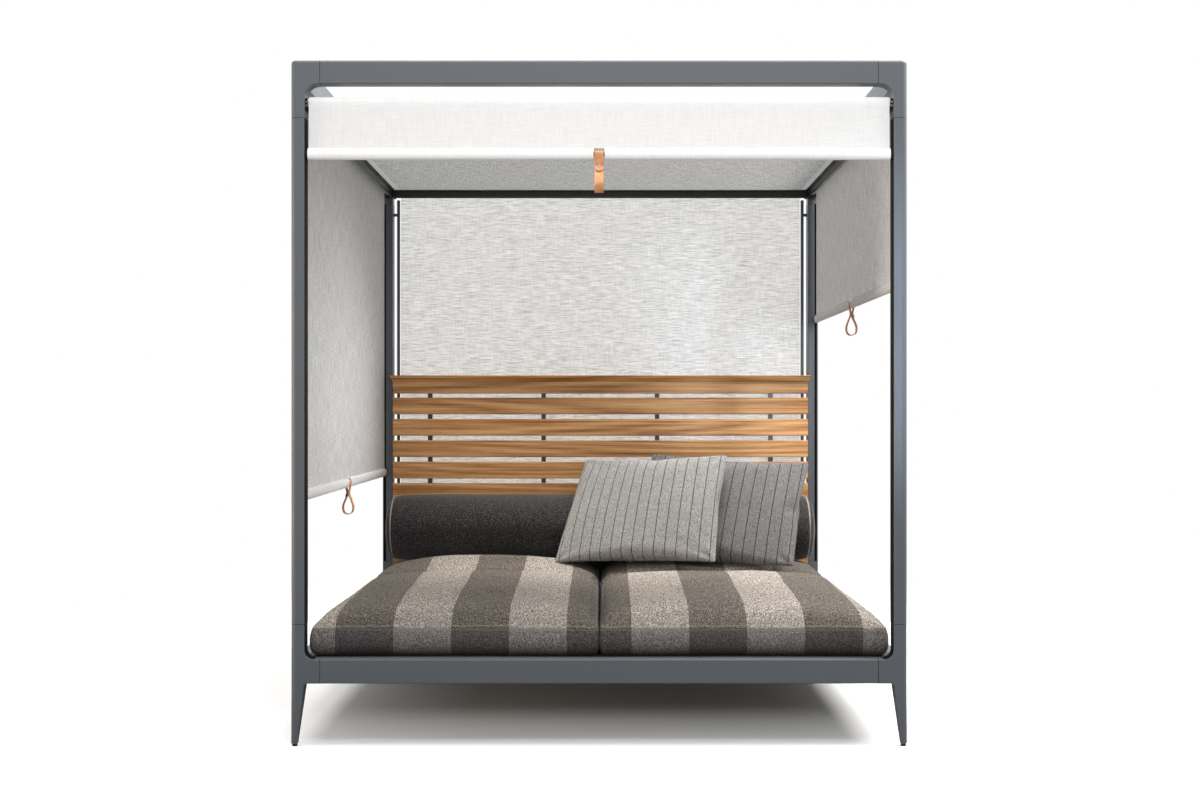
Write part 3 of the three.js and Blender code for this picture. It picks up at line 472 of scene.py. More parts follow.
bmesh.ops.bevel(
    flanges, geom=list(flanges.edges), offset=FLANGE_SOFT, offset_type="OFFSET", segments=1,
    profile=0.5, affect="EDGES", material=-1,
)
finish_piece("bracket_flanges", flanges, guide_plastic, "daybed")
finish_piece("bracket_screws", screws, screw_steel, "daybed", 25)


# Blinds: flat sheets of woven glass-fibre screen that run from the roller to the hem bar. The
# front and rear ones are white with a slub across, the sides a plain pale grey. Each sheet has
# only an upper and a lower row of points, so that it stretches evenly with its hem bar.
ROLLER_Z, SHEET_IN, SHEET_END = 2.092, 0.0097, 0.0193


def blended(tree, factor, first, second):
    """A mix of two shaders; returns its output socket."""
    node = new_node(tree, "MixShader")
    for socket, value in zip(node.inputs, (factor, first, second)):
        feed(tree, socket, value)
    return node.outputs[0]


def let_through(tree, shader, color, share):
    """Lets a share of the light through the cloth, in the cloth's colour."""
    glow = new_node(tree, "BsdfTranslucent", Color=color)
    cloth = blended(tree, share, shader.outputs[0], glow.outputs[0])
    tree.links.new(cloth, tree.nodes["Material Output"].inputs["Surface"])


def screen_cloth(name, across, light, dark, slubbed, share):
    """Woven screen: thread streaks across and up, and a share of the light let through."""
    material, tree, shader = new_material(name)
    slub, warp = (
        noise(tree, (wide, 1, high) if across == "X" else (1, wide, high), detail, roughness)
        for wide, high, detail, roughness in ((16, 520, 4, 0.75), (420, 14, 2, 0.5))
    )
    weave = maths(tree, "MULTIPLY", warp, 1 - slubbed)
    weave = maths(tree, "MULTIPLY_ADD", slub, slubbed, weave)
    tones = ramped(tree, weave, [(0.40, dark), (0.57, light)])
    surfaced(tree, shader, tones, 0.85, 0.2)
    bumped(tree, shader, weave, 0.0004, 0.5)
    let_through(tree, shader, tones, share)
    return material


# across which axis the slub runs, light and dark thread, share of slub, light let through
looks = {
    "front_screen": ("X", (0.96, 0.965, 0.97, 1), (0.86, 0.865, 0.87, 1), 0.6, 0.26),
    "rear_screen": ("X", (0.93, 0.92, 0.90, 1), (0.46, 0.455, 0.44, 1), 0.85, 0.6),
    "side_screen": ("Y", (0.62, 0.62, 0.62, 1), (0.33, 0.33, 0.335, 1), 0.45, 0.10),
    # the hems let no light through; their tones, set apart from the sheets', are painted light and
    # shade
    "front_hem": ("X", (0.88, 0.885, 0.89, 1), (0.81, 0.815, 0.82, 1), 0.6, 0),
    "rear_hem": ("X", (0.80, 0.79, 0.775, 1), (0.60, 0.595, 0.58, 1), 0.85, 0),
    "side_hem": ("Y", (0.66, 0.66, 0.655, 1), (0.56, 0.56, 0.56, 1), 0.35, 0),
}
cloths = {name: screen_cloth(name + "_weave", *look) for name, look in looks.items()}
kinds = {"front": "front", "rear": "rear", "left": "side", "right": "side"}
screens = {label: cloths[kind + "_screen"] for label, kind in kinds.items()}
hem_cloths_toned_for_light = {label: cloths[kind + "_hem"] for label, kind in kinds.items()}
for label, side in sides.items():
    bm = bmesh.new()
    bmesh.ops.create_grid(bm, x_segments=12, y_segments=1, size=1)
    for v in bm.verts:
        z = side.hem + SHEET_END if v.co.y < 0 else ROLLER_Z
        v.co = on_side(side, v.co.x * side.half, SHEET_IN, z)
    body = "blind_" + label
    sheet = finish_piece("screen_" + label, bm, screens[label])
    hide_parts("blind_fabric_" + label)
    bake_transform(sheet)
    paint(nodes["roller_" + label], screens[label])


# Hem bars: an aluminium bar in a pocket sewn from the blind's own cloth, drawn to a point where
# it is stitched, with black plastic caps at the ends, steel pins in the guides, and the black
# bar left bare in the middle, where the strap goes round it. The pocket's cloth is a copy of
# the sheet's, with its tone set apart from the sheet's as painted light and shade.
def oval(half_deep, half_high, middle, count=28, squareness=0.8):
    """Outline points (inset, z): an ellipse, squarer as squareness falls below 1."""
    points = []
    for i in range(count):
        c, s = cos(2 * pi * i / count), sin(2 * pi * i / count)
        points.append((
            SLOT_IN + half_deep * copysign(abs(c) ** squareness, c),
            middle + half_high * copysign(abs(s) ** squareness, s),
        ))
    return points


def run_along(name, side, parts, *finish):
    """A piece of (inset, z) outlines that run along a side, each over its (from, to) spans."""
    bm = bmesh.new()
    for outline, spans in parts:
        for start, stop in spans:
            ring = [on_side(side, start, t, z) for t, z in outline]
            extruded(bm, ring, side.along * (stop - start))
    return finish_piece(name, bm, *finish)


NOTCH_HALF, BAR_RADIUS, BAR_BARE, CLEAR_CAP = 0.018, 0.008, 0.024, 0.0001
POCKET_DEEP, POCKET_HIGH, POCKET_DROP, POCKET_SQUARE = 0.0099, 0.018, 0.001, 0.85
STITCHED_HALF, STITCHED_HIGH, POCKET_STEPS = 0.0006, 0.0190, 24
CAP_DEEP, CAP_HIGH, PIN_RADIUS, PIN_RADIUS_REAR = 0.0100, 0.0198, 0.0025, 0.0020
for label, side in sides.items():
    body, z = "blind_" + label, side.hem
    pocket = [(SLOT_IN + STITCHED_HALF, z + STITCHED_HIGH)]
    for i in range(1, POCKET_STEPS):
        angle = pi / 2 - 2 * pi * i / POCKET_STEPS
        c, s = cos(angle), sin(angle)
        deep = POCKET_DEEP * copysign(abs(c) ** POCKET_SQUARE, c)
        pocket.append((SLOT_IN + deep, z - POCKET_DROP + POCKET_HIGH * s))
    pocket.append((SLOT_IN - STITCHED_HALF, z + STITCHED_HIGH))
    sewn = run_along("hem_pocket_" + label, side, [
        (pocket, [(-side.sleeve, -NOTCH_HALF), (NOTCH_HALF, side.sleeve)])
    ], hem_cloths_toned_for_light[label], body, 50)
    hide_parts("hem_bar_" + label)
    run_along("hem_caps_" + label, side, [
        (oval(CAP_DEEP, CAP_HIGH, z), [(-side.cap, -side.sleeve), (side.sleeve, side.cap)]),
        (oval(BAR_RADIUS, BAR_RADIUS, z, 28, 1), [(-BAR_BARE, BAR_BARE)]),
    ], guide_plastic, body)
    radius, inner = PIN_RADIUS_REAR if label == "rear" else PIN_RADIUS, side.cap + CLEAR_CAP
    run_along("hem_pins_" + label, side, [
        (oval(radius, radius, z, 16, 1), [(-side.pin, -inner), (inner, side.pin)])
    ], screw_steel, body)

# Pull straps: one long band of vegetable-tanned leather, looped over the bar, crossed and held
# by a slotted screw, and brought round again as a loop for the hand. The outer end is a round
# tab. Grain side warm tan, cut edges dark brown.
leather, tree, shader = new_material("strap_leather_grain")
pebble = new_node(tree, "TexVoronoi", Vector=object_place(tree), Scale=900)
tones = ramped(tree, noise(tree, 45, 5), [
    (0.30, (0.50, 0.20, 0.075, 1)), (0.52, (0.68, 0.31, 0.125, 1)), (0.75, (0.80, 0.42, 0.20, 1))
])
surfaced(tree, shader, tones, 0.5)
bumped(tree, shader, pebble.outputs["Distance"], 0.0002, 0.35)
leather_edge, tree, shader = new_material("strap_leather_cut_edge")
tones = ramped(tree, noise(tree, 500), [
    (0.35, (0.075, 0.022, 0.006, 1)), (0.65, (0.16, 0.055, 0.018, 1))
])
surfaced(tree, shader, tones, 0.7)

STRAP_HALF, STRAP_THICK, STRAP_WORN, TAB_ROUND, TAB_START = 0.015, 0.0026, 0.0005, 0.015, 0.0006
CURVE_STEPS, STRAP_CUTS, STRAP_SCREW_LOW = 3, 5, -0.0400
# the band's two screws: (inset, which way it faces, radius, height, slot)
STRAP_SCREWS = ((0.0052, 1, 0.0070, 0.0026, 0.0016), (0.0138, -1, 0.0065, 0.0018, 0.0016))
# middle line of the band, as (inset, height over the bar's middle), from the tab to its far end
strap_route = [
    (0.0008, -0.0575), (0.0022, -0.0500), (0.0052, -0.0435), (0.0066, -0.0395), (0.0054, -0.0320),
    (0.0024, -0.0190), (0.0004, -0.0060), (0.0007, 0.0030), (0.0036, 0.0078), (0.0100, 0.0099),
    (0.0164, 0.0078), (0.0193, 0.0030), (0.0196, -0.0060), (0.0176, -0.0190), (0.0140, -0.0320),
    (0.0124, -0.0400), (0.0142, -0.0480), (0.0215, -0.0660), (0.0282, -0.0850), (0.0302, -0.1010),
    (0.0262, -0.1160), (0.0170, -0.1230), (0.0100, -0.1237), (0.0030, -0.1225), (-0.0062, -0.1160),
    (-0.0102, -0.1010), (-0.0080, -0.0850), (-0.0010, -0.0680), (0.0060, -0.0530),
    (0.0093, -0.0440), (0.0096, -0.0370),
]


def through(points, steps):
    """Points on a smooth curve through the given ones (Catmull-Rom)."""
    line = [Vector(p) for p in points]
    line = [line[0] * 2 - line[1]] + line + [line[-1] * 2 - line[-2]]
    curve = []
    for a, b, c, d in zip(line, line[1:], line[2:], line[3:]):
        for k in range(steps):
            t = k / steps
            curve.append(0.5 * (
                2 * b + (c - a) * t + (2 * a - 5 * b + 4 * c - d) * t**2
                + (3 * b - a - 3 * c + d) * t**3
            ))
    return curve + [line[-2]]


for label, side in sides.items():
    bm = bmesh.new()
    half_layer = bm.verts.layers.float.new("half_width")
    reach, last, row = 0.0, None, []
    for t, z in through(strap_route, CURVE_STEPS):
        reach += (Vector((t, z)) - last).length if last else TAB_START
        last = Vector((t, z))
        v = bm.verts.new(on_side(side, 0, t, side.hem + z))
        short = max(0.0, 1 - reach / TAB_ROUND)
        v[half_layer] = STRAP_HALF * sqrt(1 - short**2)
        row.append(v)
    line = [bm.edges.new(pair) for pair in zip(row, row[1:])]
    made = bmesh.ops.extrude_edge_only(bm, edges=line)["geom"]
    far = {v for v in made if isinstance(v, bmesh.types.BMVert)}
    bmesh.ops.translate(bm, vec=side.along, verts=list(far))
    cross = [e for e in bm.edges if (e.verts[0] in far) != (e.verts[1] in far)]
    bmesh.ops.subdivide_edges(bm, edges=cross, cuts=STRAP_CUTS, use_grid_fill=True)
    for v in bm.verts:
        share = v.co.dot(side.along)
        v.co += side.along * ((2 * share - 1) * v[half_layer] - share)
    strap = finish_piece("strap_" + label, bm, leather, "blind_" + label, 80)
    strap.data.materials.append(leather_edge)
    solid = strap.modifiers.new("thickness", "SOLIDIFY")
    solid.thickness, solid.offset, solid.material_offset_rim = STRAP_THICK, 0, 1
    worn = strap.modifiers.new("worn_edges", "BEVEL")
    worn.width, worn.segments, worn.limit_method = STRAP_WORN, 2, "ANGLE"
    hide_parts("pull_strap_" + label)
    bm = bmesh.new()
    for inset, facing, *size in STRAP_SCREWS:
        place = on_side(side, 0, inset, side.hem + STRAP_SCREW_LOW)
        slotted_head(bm, place, side.out * facing, *size)
    finish_piece("strap_screw_" + label, bm, screw_steel, "blind_" + label, 25)


# Roof: one sheet of dark grey screen, stretched over the frame and sagging a little in the
# middle. Its side edges are doubled over into paler hems.
ROOF_X, ROOF_Y, ROOF_Z, ROOF_SAG = 0.9535, 0.7835, 2.0990, 0.014
ROOF_HEM, HEM_PALER, HEM_TONE = 0.036, 0.45, (0.34, 0.34, 0.33, 1)
roof_cloth, tree, shader = new_material("roof_screen_weave")
threads = [noise(tree, scale, 3) for scale in ((420, 22, 1), (22, 420, 1))]
weave = maths(tree, "MULTIPLY", maths(tree, "ADD", *threads), 0.5)
tones = ramped(tree, weave, [(0.40, (0.125, 0.125, 0.123, 1)), (0.60, (0.275, 0.275, 0.27, 1))])
across = maths(tree, "ABSOLUTE", object_axes(tree)[0])
in_hem = maths(tree, "GREATER_THAN", across, ROOF_X - ROOF_HEM)
roof_color = mixed(tree, maths(tree, "MULTIPLY", in_hem, HEM_PALER), tones, HEM_TONE)
surfaced(tree, shader, roof_color, 0.9, 0.15)
bumped(tree, shader, maths(tree, "ADD", weave, in_hem), 0.0004, 0.4)
let_through(tree, shader, roof_color, 0.45)
bm = bmesh.new()
bmesh.ops.create_grid(bm, x_segments=64, y_segments=54, size=1)
for v in bm.verts:
    slack = sqrt(max(0.0, (1 - v.co.x**2) * (1 - v.co.y**2)))
    v.co = Vector((v.co.x * ROOF_X, v.co.y * ROOF_Y, ROOF_Z - ROOF_SAG * slack))
roof = finish_piece("roof_sheet", bm, roof_cloth, "daybed")
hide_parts("roof_canopy")


# Seat cushions: boxed covers over foam, 0.95 by 1.55 m, in brown-grey chenille with broad
# stripes. A soft crown, a sewn channel across in front of the headboard end, and a flat double
# seam where the top panel meets the wall. The stripes mirror each other at the middle gap.
chenille, group_in, group_out = new_group(
    "woven_cloth", [("Vector", "Vector"), ("Thread", "Float")],
    [("Mottle", "Float"), ("Height", "Float")],
)
per_metre = maths(chenille, "DIVIDE", 1, group_in.outputs["Thread"])
scaled = new_node(chenille, "VectorMath")
scaled.operation = "SCALE"
chenille.links.new(group_in.outputs["Vector"], scaled.inputs[0])
chenille.links.new(per_metre, scaled.inputs["Scale"])
knots = new_node(
    chenille, "TexNoise", Vector=scaled.outputs[0], Scale=0.42, Detail=3, Roughness=0.75
)
threads = new_node(chenille, "TexVoronoi", Vector=scaled.outputs[0], Scale=1)
spread = ranged(chenille, knots.outputs["Fac"], 0.38, 0.62)
chenille.links.new(spread, group_out.inputs["Mottle"])
chenille.links.new(
    maths(chenille, "MULTIPLY_ADD", threads.outputs["Distance"], -0.6, spread),
    group_out.inputs["Height"],
)


def three_tones(tree, value, tones):
    """A colour ramp with a dark, a middle and a pale tone."""
    return ramped(tree, value, list(zip((0.0, 0.5, 1.0), tones)))


def cloth_material(name, thread, tones, sheen, height):
    """Matte woven cloth: returns its material, tree, shader, grain node and colour socket."""
    material, tree, shader = new_material(name)
    grain = new_node(tree, "Group")
    grain.node_tree = chenille
    feed(tree, grain.inputs["Thread"], thread)
    feed(tree, grain.inputs["Vector"], object_place(tree))
    color = three_tones(tree, grain.outputs["Mottle"], tones)
    surfaced(tree, shader, color, 0.95, 0.15)
    bumped(tree, shader, grain.outputs["Height"], height, 0.6)
    shader.inputs["Sheen Weight"].default_value = sheen
    shader.inputs["Sheen Roughness"].default_value = 0.5
    return material, tree, shader, grain, color


def stored(tree, name):
    """A value that the mesh keeps at its points."""
    node = new_node(tree, "Attribute")
    node.attribute_name = name
    return node.outputs["Fac"]


STRIPE_FIRST, STRIPE = 0.106, 0.1895
STITCH_FROM_SEAM, STITCH_HALF, STITCH_SHOWS = 0.0055, 0.0010, 0.30
WALL_FROM, WALL_SHADE_COOL, WALL_DARK, WALL_DARKER, WALL_DARKEST = 0.012, 0.12, 0.10, 0.36, 0.55
SEAM_FADE, SEAM_DARK, FOLD_FROM, FOLD_TO, FOLD_SHADE = 0.10, 0.20, 0.003, 0.011, 0.85
seat_cloth, tree, shader, grain, light_stripe = cloth_material(
    "seat_chenille", 0.0016,
    [(0.10, 0.088, 0.076, 1), (0.235, 0.208, 0.182, 1), (0.50, 0.46, 0.42, 1)], 0.05, 0.0004,
)
dark_stripe = three_tones(tree, grain.outputs["Mottle"], [
    (0.034, 0.028, 0.023, 1), (0.092, 0.079, 0.066, 1), (0.21, 0.185, 0.16, 1)
])
across, seam, channel, wall = (
    stored(tree, name) for name in ("across_m", "seam_m", "channel_m", "wall_share")
)
turns = maths(tree, "MULTIPLY_ADD", across, 0.5 / STRIPE, 3 - 0.5 * STRIPE_FIRST / STRIPE)
is_dark = maths(tree, "GREATER_THAN", maths(tree, "FRACT", turns), 0.5)
striped = mixed(tree, is_dark, light_stripe, dark_stripe)
beside = maths(tree, "ABSOLUTE", maths(tree, "SUBTRACT", seam, STITCH_FROM_SEAM))
stitched = maths(tree, "MULTIPLY", maths(tree, "LESS_THAN", beside, STITCH_HALF), STITCH_SHOWS)
sewn = mixed(tree, stitched, striped, (0.44, 0.41, 0.38, 1))
# painted shade: the walls turn cooler and darker toward the foot, near black there, and the top
# darkens toward its edge
on_wall = maths(tree, "GREATER_THAN", wall, WALL_FROM)
wall_cool_shade = mixed(tree, maths(tree, "MULTIPLY", on_wall, WALL_SHADE_COOL), sewn, (0.10, 0.13, 0.19, 1))
painted_shade = maths(tree, "MULTIPLY_ADD", wall, WALL_DARKER, WALL_DARK)
painted_shade = maths(tree, "MULTIPLY_ADD", maths(tree, "POWER", wall, 4.0), WALL_DARKEST, painted_shade)
painted_shade = maths(tree, "MULTIPLY", painted_shade, on_wall)
painted_shade = maths(tree, "ADD", painted_shade, ranged(tree, seam, 0, SEAM_FADE, SEAM_DARK, 0))
# the walls' and the edge's painted shade, mixed toward near black
boxed = mixed(tree, painted_shade, wall_cool_shade, (0.004, 0.004, 0.005, 1))
# painted shade, darkening the channel's fold
fold_shade = ranged(tree, channel, FOLD_FROM, FOLD_TO, FOLD_SHADE, 0)
tree.links.new(mixed(tree, fold_shade, boxed, (0.02, 0.017, 0.014, 1)), shader.inputs["Base Color"])
along_pile = new_node(tree, "Mapping", Vector=object_place(tree), Scale=(1, 0.22, 1))
tree.links.new(along_pile.outputs[0], grain.inputs["Vector"])


def skin_box(cuts):
    """A box from -1 to 1 with a grid on each face, as a bmesh; cuts gives the cells per axis."""
    bm = bmesh.new()
    bmesh.ops.create_cube(bm, size=2)
    for axis, cells in enumerate(cuts):
        across = [e for e in bm.edges if abs((e.verts[0].co - e.verts[1].co)[axis]) > 1.9]
        bmesh.ops.subdivide_edges(bm, edges=across, cuts=cells - 1, use_grid_fill=True)
    return bm


def places(mesh):
    """The mesh's points as an array of three columns."""
    flat = np.empty(len(mesh.vertices) * 3, np.float32)
    mesh.vertices.foreach_get("co", flat)
    return flat.reshape(-1, 3).astype(float)


def move_to(mesh, x, y, z):
    mesh.vertices.foreach_set("co", np.column_stack([x, y, z]).astype(np.float32).ravel())
    mesh.update()


def keep_value(obj, name, values):
    mark = obj.data.attributes.new(name, "FLOAT", "POINT")
    mark.data.foreach_set("value", np.asarray(values, np.float32))


def ripples(seed, along, shortest, longest, count=9):
    """Uneven waves along a distance: sines of random length and phase, about -1 to 1."""
    rng = np.random.default_rng(seed)
    total = np.zeros_like(along)
    for _ in range(count):
        length = rng.uniform(shortest, longest)
        total += np.sin(2 * np.pi * along / length + rng.uniform(0, 2 * np.pi))
    return total / sqrt(count)


CUSHION_WIDE, CUSHION_LONG, CUSHION_FRONT = 0.947, 1.553, -0.788
CUSHION_BASE, CUSHION_WALL, CUSHION_APART = 0.2816, 0.092, 0.003
# crown: a round shoulder along the edges, an arch across and a swell behind the channel
SHOULDER, SIDE_ROUND, END_ROUND, ARCH, BELLY = 0.034, 0.018, 0.046, 0.028, 0.004
SWELL, SWELL_AT, SWELL_LONG = 0.028, 1.215, 0.105
# channel: a broad pinch with a sharp fold in it, and rows of points drawn together there
CHANNEL, PINCH, PINCH_LONG, FOLD, FOLD_LONG = 0.988, 0.017, 0.034, 0.009, 0.006
ROWS_CLOSER, ROWS_REACH = 0.42, 0.16
# walls: drawn in at half height, at the foot, at the channel, and toward the middle of a side
WALL_INSET, WAIST, FOOT, FOOT_HIGH, WALL_PINCH, DRAWN = 0.004, 0.026, 0.012, 0.10, 0.010, 0.024
CORNER_OUTER, CORNER_INNER = 0.024, 0.040
NEST_Y, NEST_Z, NEST_R, NEST_AXIS = 0.622, 0.4237, 0.1478, 0.566


def seat_cushion(name, node, direction, seed):
    """One of the two cushions; direction is -1 for the left one and 1 for the right one."""
    obj = finish_piece(name, skin_box((120, 200, 14)), seat_cloth, "daybed", 80)
    p, q, w = places(obj.data).T
    u = 0.45 * p + 0.55 * np.sin(p * np.pi / 2)
    v = 0.55 * q + 0.45 * np.sin(q * np.pi / 2)
    row = 2 * CHANNEL / CUSHION_LONG - 1
    v = v - ROWS_CLOSER * (v - row) * np.exp(-(((v - row) / ROWS_REACH) ** 2))
    side_a, side_b = (u + 1) / 2 * CUSHION_WIDE, (1 - u) / 2 * CUSHION_WIDE
    end_a, end_b = (v + 1) / 2 * CUSHION_LONG, (1 - v) / 2 * CUSHION_LONG
    side, end = np.minimum(side_a, side_b), np.minimum(end_a, end_b)
    edge, around = np.minimum(side, end), np.where(side < end, end_a, side_a)
    level, top = (w + 1) / 2, w > 0.999
    to_channel = end_a - CHANNEL
    pinch = np.exp(-((to_channel / PINCH_LONG) ** 2))
    belly = 16 * side_a * side_b * end_a * end_b / (CUSHION_WIDE * CUSHION_LONG) ** 2
    crown = SHOULDER * (1 - np.exp(-side / SIDE_ROUND)) + ARCH * (1 - u**4)
    rise = CUSHION_WALL + crown * (1 - np.exp(-end / END_ROUND))
    rise += SWELL * (1 - u**2) * np.exp(-(((end_a - SWELL_AT) / SWELL_LONG) ** 2))
    rise += BELLY * belly - PINCH * pinch - FOLD * np.exp(-np.abs(to_channel) / FOLD_LONG)
    rise += 0.0011 * np.exp(-edge / 0.03) * ripples(seed, around, 0.035, 0.085)
    rise += 0.0014 * np.exp(-np.abs(to_channel) / 0.03) * ripples(seed + 1, side_a, 0.03, 0.07)
    rise += 0.0016 * (1 - np.exp(-edge / 0.08)) * (
        ripples(seed + 2, side_a + 0.4 * end_a, 0.22, 0.5)
        + ripples(seed + 3, end_a - 0.3 * side_a, 0.25, 0.6)
    )
    inset = WALL_INSET - WAIST * level * (1 - level) + FOOT * np.exp(-level / FOOT_HIGH)
    inset += WALL_PINCH * pinch * level
    inset += 0.0008 * ripples(seed + 4, around, 0.05, 0.12) * np.exp(-np.abs(1 - level) / 0.3)
    beside_other = np.clip(-direction * u, 0, 1)
    drawn = inset + DRAWN * end_a * end_b / CUSHION_LONG**2
    half_x = CUSHION_WIDE / 2 - drawn * (1 - 0.4 * beside_other) + 0.0028 * beside_other
    half_x -= 0.016 * beside_other * pinch * np.clip(level - 0.6, 0, 1) / 0.4
    half_y = CUSHION_LONG / 2 - inset - DRAWN * side_a * side_b / CUSHION_WIDE**2
    x, y = u * half_x, v * half_y
    corner = np.where(beside_other * (v > 0) > 0, CORNER_INNER, CORNER_OUTER)
    dx = np.clip((np.abs(x) - (half_x - corner)) / corner, 0, 1)
    dy = np.clip((np.abs(y) - (half_y - corner)) / corner, 0, 1)
    inside = (dx > 0) & (dy > 0)
    k = np.where(inside, np.maximum(dx, dy) / np.maximum(np.hypot(dx, dy), 1e-9), 1)
    x = np.where(inside, np.sign(x) * (half_x - corner + corner * dx * k), x)
    y = np.where(inside, np.sign(y) * (half_y - corner + corner * dy * k), y)
    y = y + CUSHION_FRONT + CUSHION_LONG / 2
    under = NEST_AXIS - np.sqrt(np.maximum(0, NEST_R**2 - (y - NEST_Y) ** 2))
    rise = np.minimum(rise, np.maximum(under, NEST_Z) - CUSHION_BASE)
    z = CUSHION_BASE + np.where(top, rise, level * CUSHION_WALL)
    x = x + direction * (CUSHION_APART + CUSHION_WIDE / 2)
    move_to(obj.data, x, y, z)
    keep_value(obj, "across_m", np.abs(x) / (1 + 0.06 * np.clip(y - CUSHION_FRONT, 0, 1)))
    keep_value(obj, "seam_m", np.where(top, edge, (1 - level) * CUSHION_WALL))
    keep_value(obj, "channel_m", np.abs(to_channel))
    keep_value(obj, "wall_share", np.where(top, 0, 1 - level))
    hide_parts(node)


seat_cushion("cushion_left", "seat_cushion_left", -1, 11)
seat_cushion("cushion_right", "seat_cushion_right", 1, 31)

# Bolster: a long round pad, 0.29 m across, leaning on the slats and pressed flat a little on
# them and on the cushions. Near-black chenille; a seam ring joins each domed end to the tube.
BOLSTER_R, BOLSTER_HALF, BOLSTER_Y, BOLSTER_Z = 0.147, 0.950, 0.622, 0.566
BOLSTER_DOME_R, BOLSTER_DOME, DOME_STEPS = 0.131, 0.030, 12
BOLSTER_SEAM, SEAM_HALF_WIDE, SEAM_PALE = 0.914, 0.0030, 0.85
SLAT_FACE, SEAT_TOP, GAP_SAG, GAP_HALF = 0.7655, 0.4242, 0.062, 0.030
bolster_cloth, tree, shader, _, dark_tone = cloth_material(
    "bolster_chenille", 0.0021,
    [(0.005, 0.005, 0.006, 1), (0.022, 0.0205, 0.021, 1), (0.080, 0.075, 0.076, 1)], 0.2, 0.0005,
)
ring = maths(tree, "LESS_THAN", stored(tree, "seam_m"), SEAM_HALF_WIDE)
ring = maths(tree, "MULTIPLY", ring, SEAM_PALE)
tree.links.new(mixed(tree, ring, dark_tone, (0.36, 0.33, 0.30, 1)), shader.inputs["Base Color"])
half_line = [(0.0, BOLSTER_HALF)]
for i in range(1, DOME_STEPS + 1):
    angle = i / DOME_STEPS * pi / 2
    half_line.append((
        BOLSTER_DOME_R * sin(angle), BOLSTER_HALF - BOLSTER_DOME * (1 - cos(angle))
    ))
half_line += [
    (0.1352, 0.9185), (0.1366, 0.9165), (0.1345, 0.9140), (0.1366, 0.9115), (0.1385, 0.9050),
    (0.1420, 0.8800), (0.1445, 0.8400), (0.1462, 0.7600),
]
half_line += [(BOLSTER_R, 0.72 - 0.03 * i) for i in range(20)]
half_line += [(BOLSTER_R, 0.144 - 0.008 * i) for i in range(1, 19)]
line = half_line + [(r, -x) for r, x in reversed(half_line[:-1])]
bm = bmesh.new()
row = [bm.verts.new((x, 0, r)) for r, x in line]
edges = [bm.edges.new(pair) for pair in zip(row, row[1:])]
bmesh.ops.spin(
    bm, geom=row + edges, cent=(0, 0, 0), axis=(1, 0, 0), dvec=(0, 0, 0), angle=2 * pi,
    steps=112, use_merge=True, use_duplicate=False,
)
bmesh.ops.remove_doubles(bm, verts=list(bm.verts), dist=1e-5)
bolster = finish_piece("bolster_pad", bm, bolster_cloth, "daybed", 80)
x, y, z = places(bolster.data).T
from_seam = np.abs(BOLSTER_SEAM - np.abs(x))
turn = np.arctan2(z, y) * BOLSTER_R
swell = 1 + 0.010 * np.exp(-((from_seam / 0.035) ** 2)) * ripples(51, turn, 0.03, 0.08)
swell += 0.004 * ripples(52, x + 0.4 * turn, 0.25, 0.6) * (np.abs(x) < 0.9)
y = np.minimum(BOLSTER_Y + y * swell, SLAT_FACE)
below = np.clip(-z / BOLSTER_R, 0, 1) ** 3
z = np.maximum(BOLSTER_Z + z * swell, SEAT_TOP)
z -= GAP_SAG * np.exp(-((x / GAP_HALF) ** 2)) * below
move_to(bolster.data, x, y, z)
keep_value(bolster, "seam_m", from_seam)
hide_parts("bolster")

# Pillows: two squares of cloth sewn round the edge and turned, 0.7 by 0.5 m, softly filled, so
# that the corners stay thin and the seams pucker. Fine dark pinstripes run up and down.
PIN_PITCH, PIN_HALF, PIN_SHIFT, PIN_SHOWS = 0.047, 0.0014, 0.47, 0.9
PANEL_X, PANEL_Y, PANEL_RIM, PANEL_FULL = 0.355, 0.258, 0.0025, 0.050
PILLOW_WIDE, PILLOW_TALL, PILLOW_THICK = 0.700, 0.505, 0.118
CORNER_FOLD, CORNER_FOLD_AT, CORNER_FOLD_WIDE = 0.0042, 0.052, 0.026
PUFF_STEPS, SMOOTH_STEPS = 22, 8


def pinstriped(name, tones, line_color):
    """Cloth with fine lines that run up and down."""
    material, tree, shader, _, ground = cloth_material(name, 0.0014, tones, 0.08, 0.0003)
    near = maths(tree, "PINGPONG", stored(tree, "across_m"), PIN_PITCH / 2)
    line = ranged(tree, near, PIN_HALF * 0.8, PIN_HALF * 1.6, PIN_SHOWS, 0.0)
    tree.links.new(mixed(tree, line, ground, line_color), shader.inputs["Base Color"])
    return material


